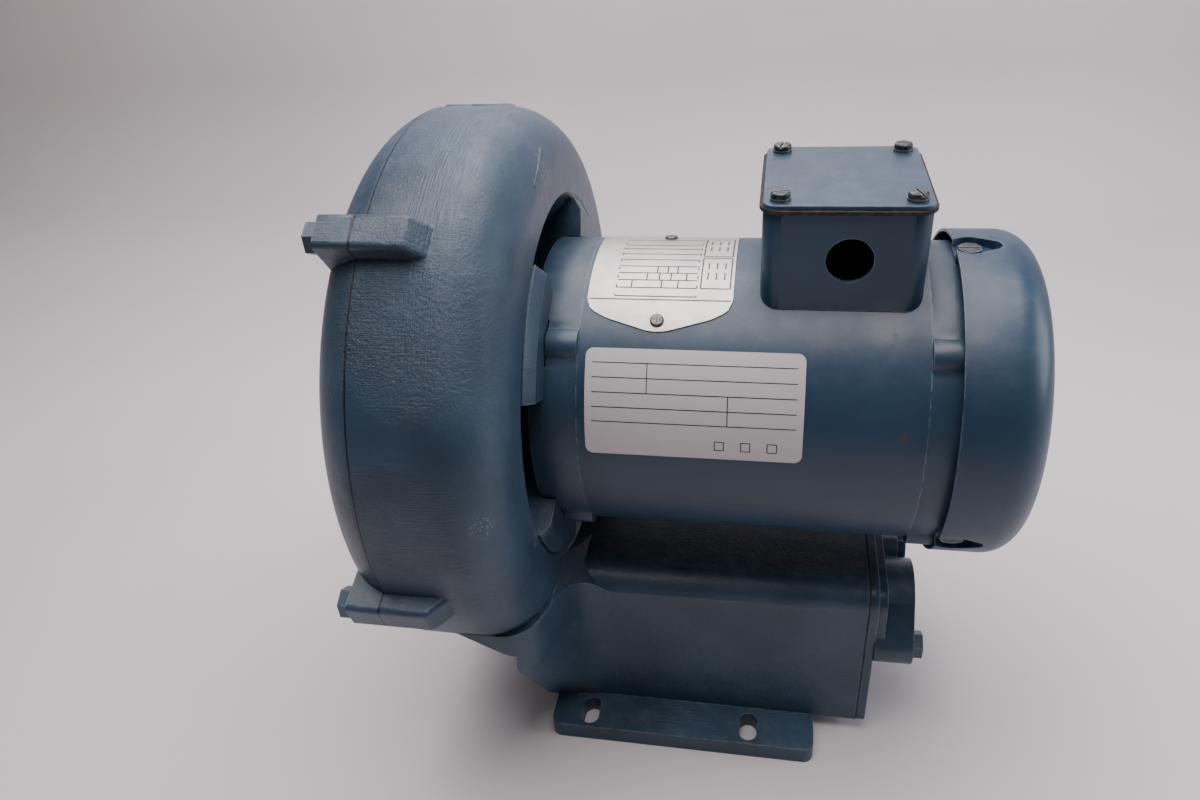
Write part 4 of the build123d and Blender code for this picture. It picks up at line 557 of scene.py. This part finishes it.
finishes = {
    enamelOverSandCasting: ["blower_housing", "blower_cover"],
    enamelOverDieCasting: ["port_manifold", "muffler_end_plate", "front_end_bell", "rear_end_bell"],
    enamelOverRolledSteel: ["motor_shell", "fan_cover", "junction_box", "junction_box_cover"],
    enamelOverBolt: ["cover_bolts", "manifold_bolts", "manifold_screws", "motor_clamp_nuts"],
    castAluminium: ["impeller"],
    printedAluminium: ["nameplate"],
    dulledSteel: ["nameplate_rivets"],
    turnedSteel: ["impeller_key", "impeller_washer", "impeller_bolt", "through_studs", "blower_mount_nuts",
                  "motor_shaft", "wave_washer", "fan_clip"],
    groundSteel: [f"{end}_bearing_{part}" for end in ("front", "rear")
                  for part in ("outer_race", "inner_race", "balls")],
    pressedSteel: ["front_bearing_cage", "rear_bearing_cage", "silencer_tube_front", "silencer_tube_rear"],
    stackedSheets: ["stator_core", "rotor_core"],
    copperWire: ["stator_windings"],
    blackOxide: ["fan_cover_screws", "junction_box_screws", "lock_washers", "box_mount_screws"],
    greenEnamel: ["ground_screw"],
    nitrileRubber: ["shaft_seal", "lead_grommet", "muffler_gasket"],
    corkRubber: ["junction_box_gasket"],
    mouldedNylon: ["cooling_fan"],
    vinylFilm: ["spec_label"],
    openFoam: ["silencer_foam_front", "silencer_foam_rear"],
}
for material, names in finishes.items():
    for name in names:
        node = frame["nodes"][name]
        node.data.materials.clear()
        node.data.materials.append(material)

# rounded corners on the castings and pressings, inside the CAD's own faces
rounded = {"blower_housing": 1.6, "blower_cover": 1.4, "port_manifold": 1.2, "muffler_end_plate": 0.8,
           "front_end_bell": 1.0, "rear_end_bell": 1.0, "fan_cover": 0.4, "junction_box": 0.4, "cover_bolts": 0.5,
           "manifold_bolts": 0.5, "manifold_screws": 0.4}
for name, width in rounded.items():
    node = frame["nodes"][name]
    weld = node.modifiers.new("weld", "WELD")
    weld.merge_threshold = 0.00001
    soften = node.modifiers.new("soften", "BEVEL")
    soften.width = width * mm
    soften.segments = 2
    soften.limit_method = "ANGLE"
    soften.angle_limit = math.radians(32)
    soften.harden_normals = False
print("materials on", sum(len(v) for v in finishes.values()), "nodes")

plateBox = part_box("nameplate")
shellRadius = (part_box("motor_shell")[1][1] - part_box("motor_shell")[0][1]) / 2
plate = {
    "lift": 0.83,
    "line": 0.75,
    "outer": 0.8,
    "thick": 0.5,
    "rowStep": 2.0,
    "middle": (105.0 + 48.6) / 2,
    # corners from the top left round: (along the plate, angle up from the front, rounding)
    "corners": ((0, 105.0, 1.5), (0, 58.5, 6.0), (7.3, 54.1, 7.0), (33.25, 48.6, 3.5)),
    "cornerSteps": 8,
    "rows": (98.3, 92.3, 89.0, 84.9, 81.0, 77.0, 73.3, 69.7, 66.1, 62.3),
    "tableX": (-24.3, 17.3),
    # between which rows, and where along the shell
    "splits": ((5, 6, (-4.0, 1.5, 6.5)), (6, 7, (-9.0, -2.5, 3.5, 11.5)), (7, 8, (-16.5, -1.0, 7.5))),
    "ruleAngle": 60.9,
    "boxes": ((19.2, 34.2, 99.7, 83.6), (19.2, 34.2, 82.4, 66.1)),
    "dotColumns": 3,
    "dotRows": (0.28, 0.45, 0.62, 0.79),
    "dot": 0.55,
    "ruleMargin": 1,
}


def onShell(x, angle, radius):
    # a place on the shell: x in mm, angle in radians up from the front, radius in m
    return x * mm, -radius * math.cos(angle), axisZ + radius * math.sin(angle)


def wrapped(bm, x0, x1, angle0, angle1, radius, steps):
    # a patch bent round the shell, between two places along it and two angles up from the front
    low = []
    for i in range(steps + 1):
        t = math.radians(angle0 + (angle1 - angle0) * i / steps)
        low.append([bm.verts.new(onShell(x, t, radius)) for x in (x0, x1)])
    for a, b in zip(low, low[1:]):
        bm.faces.new((a[0], a[1], b[1], b[0]))


def rulers(bm, radius, line, bends=8):
    # two ways to rule a line on the shell, straight along it or bent round it, and a box made of both
    half = math.degrees(line * mm / radius) / 2

    def along(xa, xb, angle):
        wrapped(bm, xa, xb, angle - half, angle + half, radius, 1)

    def around(x, a0, a1):
        wrapped(bm, x - line / 2, x + line / 2, a0, a1, radius, bends)

    def box(xa, xb, top, bottom):
        along(xa, xb, top)
        along(xa, xb, bottom)
        around(xa, bottom, top)
        around(xb, bottom, top)

    return along, around, box


def dot(bm, x, angle, size, radius, sides=10):
    # a round spot on the shell, size mm in radius
    ring = []
    for i in range(sides):
        t = 2 * math.pi * i / sides
        turn = math.radians(angle) + size * math.sin(t) * mm / radius
        ring.append(bm.verts.new(onShell(x + size * math.cos(t), turn, radius)))
    bm.faces.new(ring)


def finishPiece(bm, name, material):
    bmesh.ops.recalc_face_normals(bm, faces=bm.faces)
    mesh = bpy.data.meshes.new(name)
    bm.to_mesh(mesh)
    bm.free()
    mesh.materials.append(material)
    piece = bpy.data.objects.new(name, mesh)
    bpy.context.scene.collection.objects.link(piece)
    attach(piece, "frame")
    return piece


def roundedOutline(corners, steps):
    # a closed outline whose corners are eased by the given distance along each edge
    outline = []
    for i, (x, h, ease) in enumerate(corners):
        here = Vector((x, h))
        before = Vector(corners[i - 1][:2]) - here
        after = Vector(corners[(i + 1) % len(corners)][:2]) - here
        first, last = here + before.normalized() * ease, here + after.normalized() * ease
        for k in range(steps + 1):
            t = k / steps
            outline.append(first * (1 - t) ** 2 + here * 2 * t * (1 - t) + last * t ** 2)
    return outline


def widthAt(outline, h):
    # the least and the greatest x of the outline at height h
    near, flat = 1e-3, 1e-6
    cuts = []
    for p, q in zip(outline, outline[1:] + outline[:1]):
        low, high = min(p.y, q.y), max(p.y, q.y)
        if low - near <= h <= high + near:
            share = 0.5 if high - low < flat else min(1, max(0, (h - p.y) / (q.y - p.y)))
            cuts.append(p.x + (q.x - p.x) * share)
    return min(cuts), max(cuts)


def makePlate():
    # thin sheet bent to the shell, cut to a shallow point below
    r = shellRadius / mm
    x0, x1 = plateBox[0][0] / mm, plateBox[1][0] / mm
    left = [(x0 + x, r * math.sin(math.radians(a - plate["middle"])), ease) for x, a, ease in plate["corners"]]
    rightSide = [(x0 + x1 - x, h, ease) for x, h, ease in reversed(left)]
    outline = roundedOutline(left + rightSide, plate["cornerSteps"])
    heights = sorted({round(p.y, 4) for p in outline})
    rows = [heights[0]]
    for h in heights[1:]:
        steps = max(1, math.ceil((h - rows[-1]) / plate["rowStep"]))
        rows += [rows[-1] + (h - rows[-1]) * (k + 1) / steps for k in range(steps)]
    bm = bmesh.new()
    outer, inner = plate["outer"], plate["outer"] - plate["thick"]
    lines = []
    for h in rows:
        low, high = widthAt(outline, h)
        turn = math.radians(plate["middle"]) + math.asin(h / r)
        places = ((low, outer), (high, outer), (high, inner), (low, inner))
        lines.append([bm.verts.new(onShell(x, turn, (r + lift) * mm)) for x, lift in places])
    for a, b in zip(lines, lines[1:]):
        for i in range(4):
            bm.faces.new((a[i], a[(i + 1) % 4], b[(i + 1) % 4], b[i]))
    bm.faces.new(lines[0])
    bm.faces.new(lines[-1])
    piece = finishPiece(bm, "rating_plate_sheet", printedAluminium)
    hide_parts("nameplate")


def makePlatePrint():
    bm = bmesh.new()
    radius = shellRadius + plate["lift"] * mm
    along, around, box = rulers(bm, radius, plate["line"])
    left, rightEdge = plate["tableX"]
    rows = plate["rows"]
    for angle in rows:
        along(left, rightEdge, angle)
    around(left, rows[-1], rows[0])
    around(rightEdge, rows[-1], rows[0])
    for top, bottom, places in plate["splits"]:
        for x in places:
            around(x, rows[bottom], rows[top])
    margin = plate["ruleMargin"]
    along(plateBox[0][0] / mm + margin, plateBox[1][0] / mm - margin, plate["ruleAngle"])
    for xa, xb, top, bottom in plate["boxes"]:
        box(xa, xb, top, bottom)
        # columns of terminals, with a bar across each pair
        heights = [bottom + (top - bottom) * share for share in plate["dotRows"]]
        for i in range(plate["dotColumns"]):
            x = xa + (xb - xa) * (i + 0.75) / (plate["dotColumns"] + 0.5)
            for angle in heights:
                dot(bm, x, angle, plate["dot"], radius)
            around(x, heights[0], heights[1])
            around(x, heights[2], heights[3])
    finishPiece(bm, "rating_plate_print", blackInk)


makePlate()
makePlatePrint()
print("rating plate printed")

# blank form printed on the label: rules, field marks and three tick boxes, no words
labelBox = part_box("spec_label")
label = {
    "lift": 0.53,
    "line": 0.5,
    "margin": 3.5,
    "rules": (37.2, 32.0, 26.8, 21.6, 16.4),
    "splits": ((31.5, 37.2, 26.8), (72.0, 26.8, 16.4)),
    "ticks": (66.0, 79.0, 92.0),
    # angle at the top and the bottom, and the width
    "tick": (10.6, 7.4, 4.6),
}


def makeLabelPrint():
    bm = bmesh.new()
    along, around, box = rulers(bm, shellRadius + label["lift"] * mm, label["line"])
    x0, x1 = labelBox[0][0] / mm, labelBox[1][0] / mm
    for angle in label["rules"]:
        along(x0 + label["margin"], x1 - label["margin"], angle)
    for dx, top, bottom in label["splits"]:
        around(x0 + dx, bottom, top)
    top, bottom, wide = label["tick"]
    for dx in label["ticks"]:
        box(x0 + dx, x0 + dx + wide, top, bottom)
    finishPiece(bm, "label_print", blackInk)


makeLabelPrint()
print("label printed")
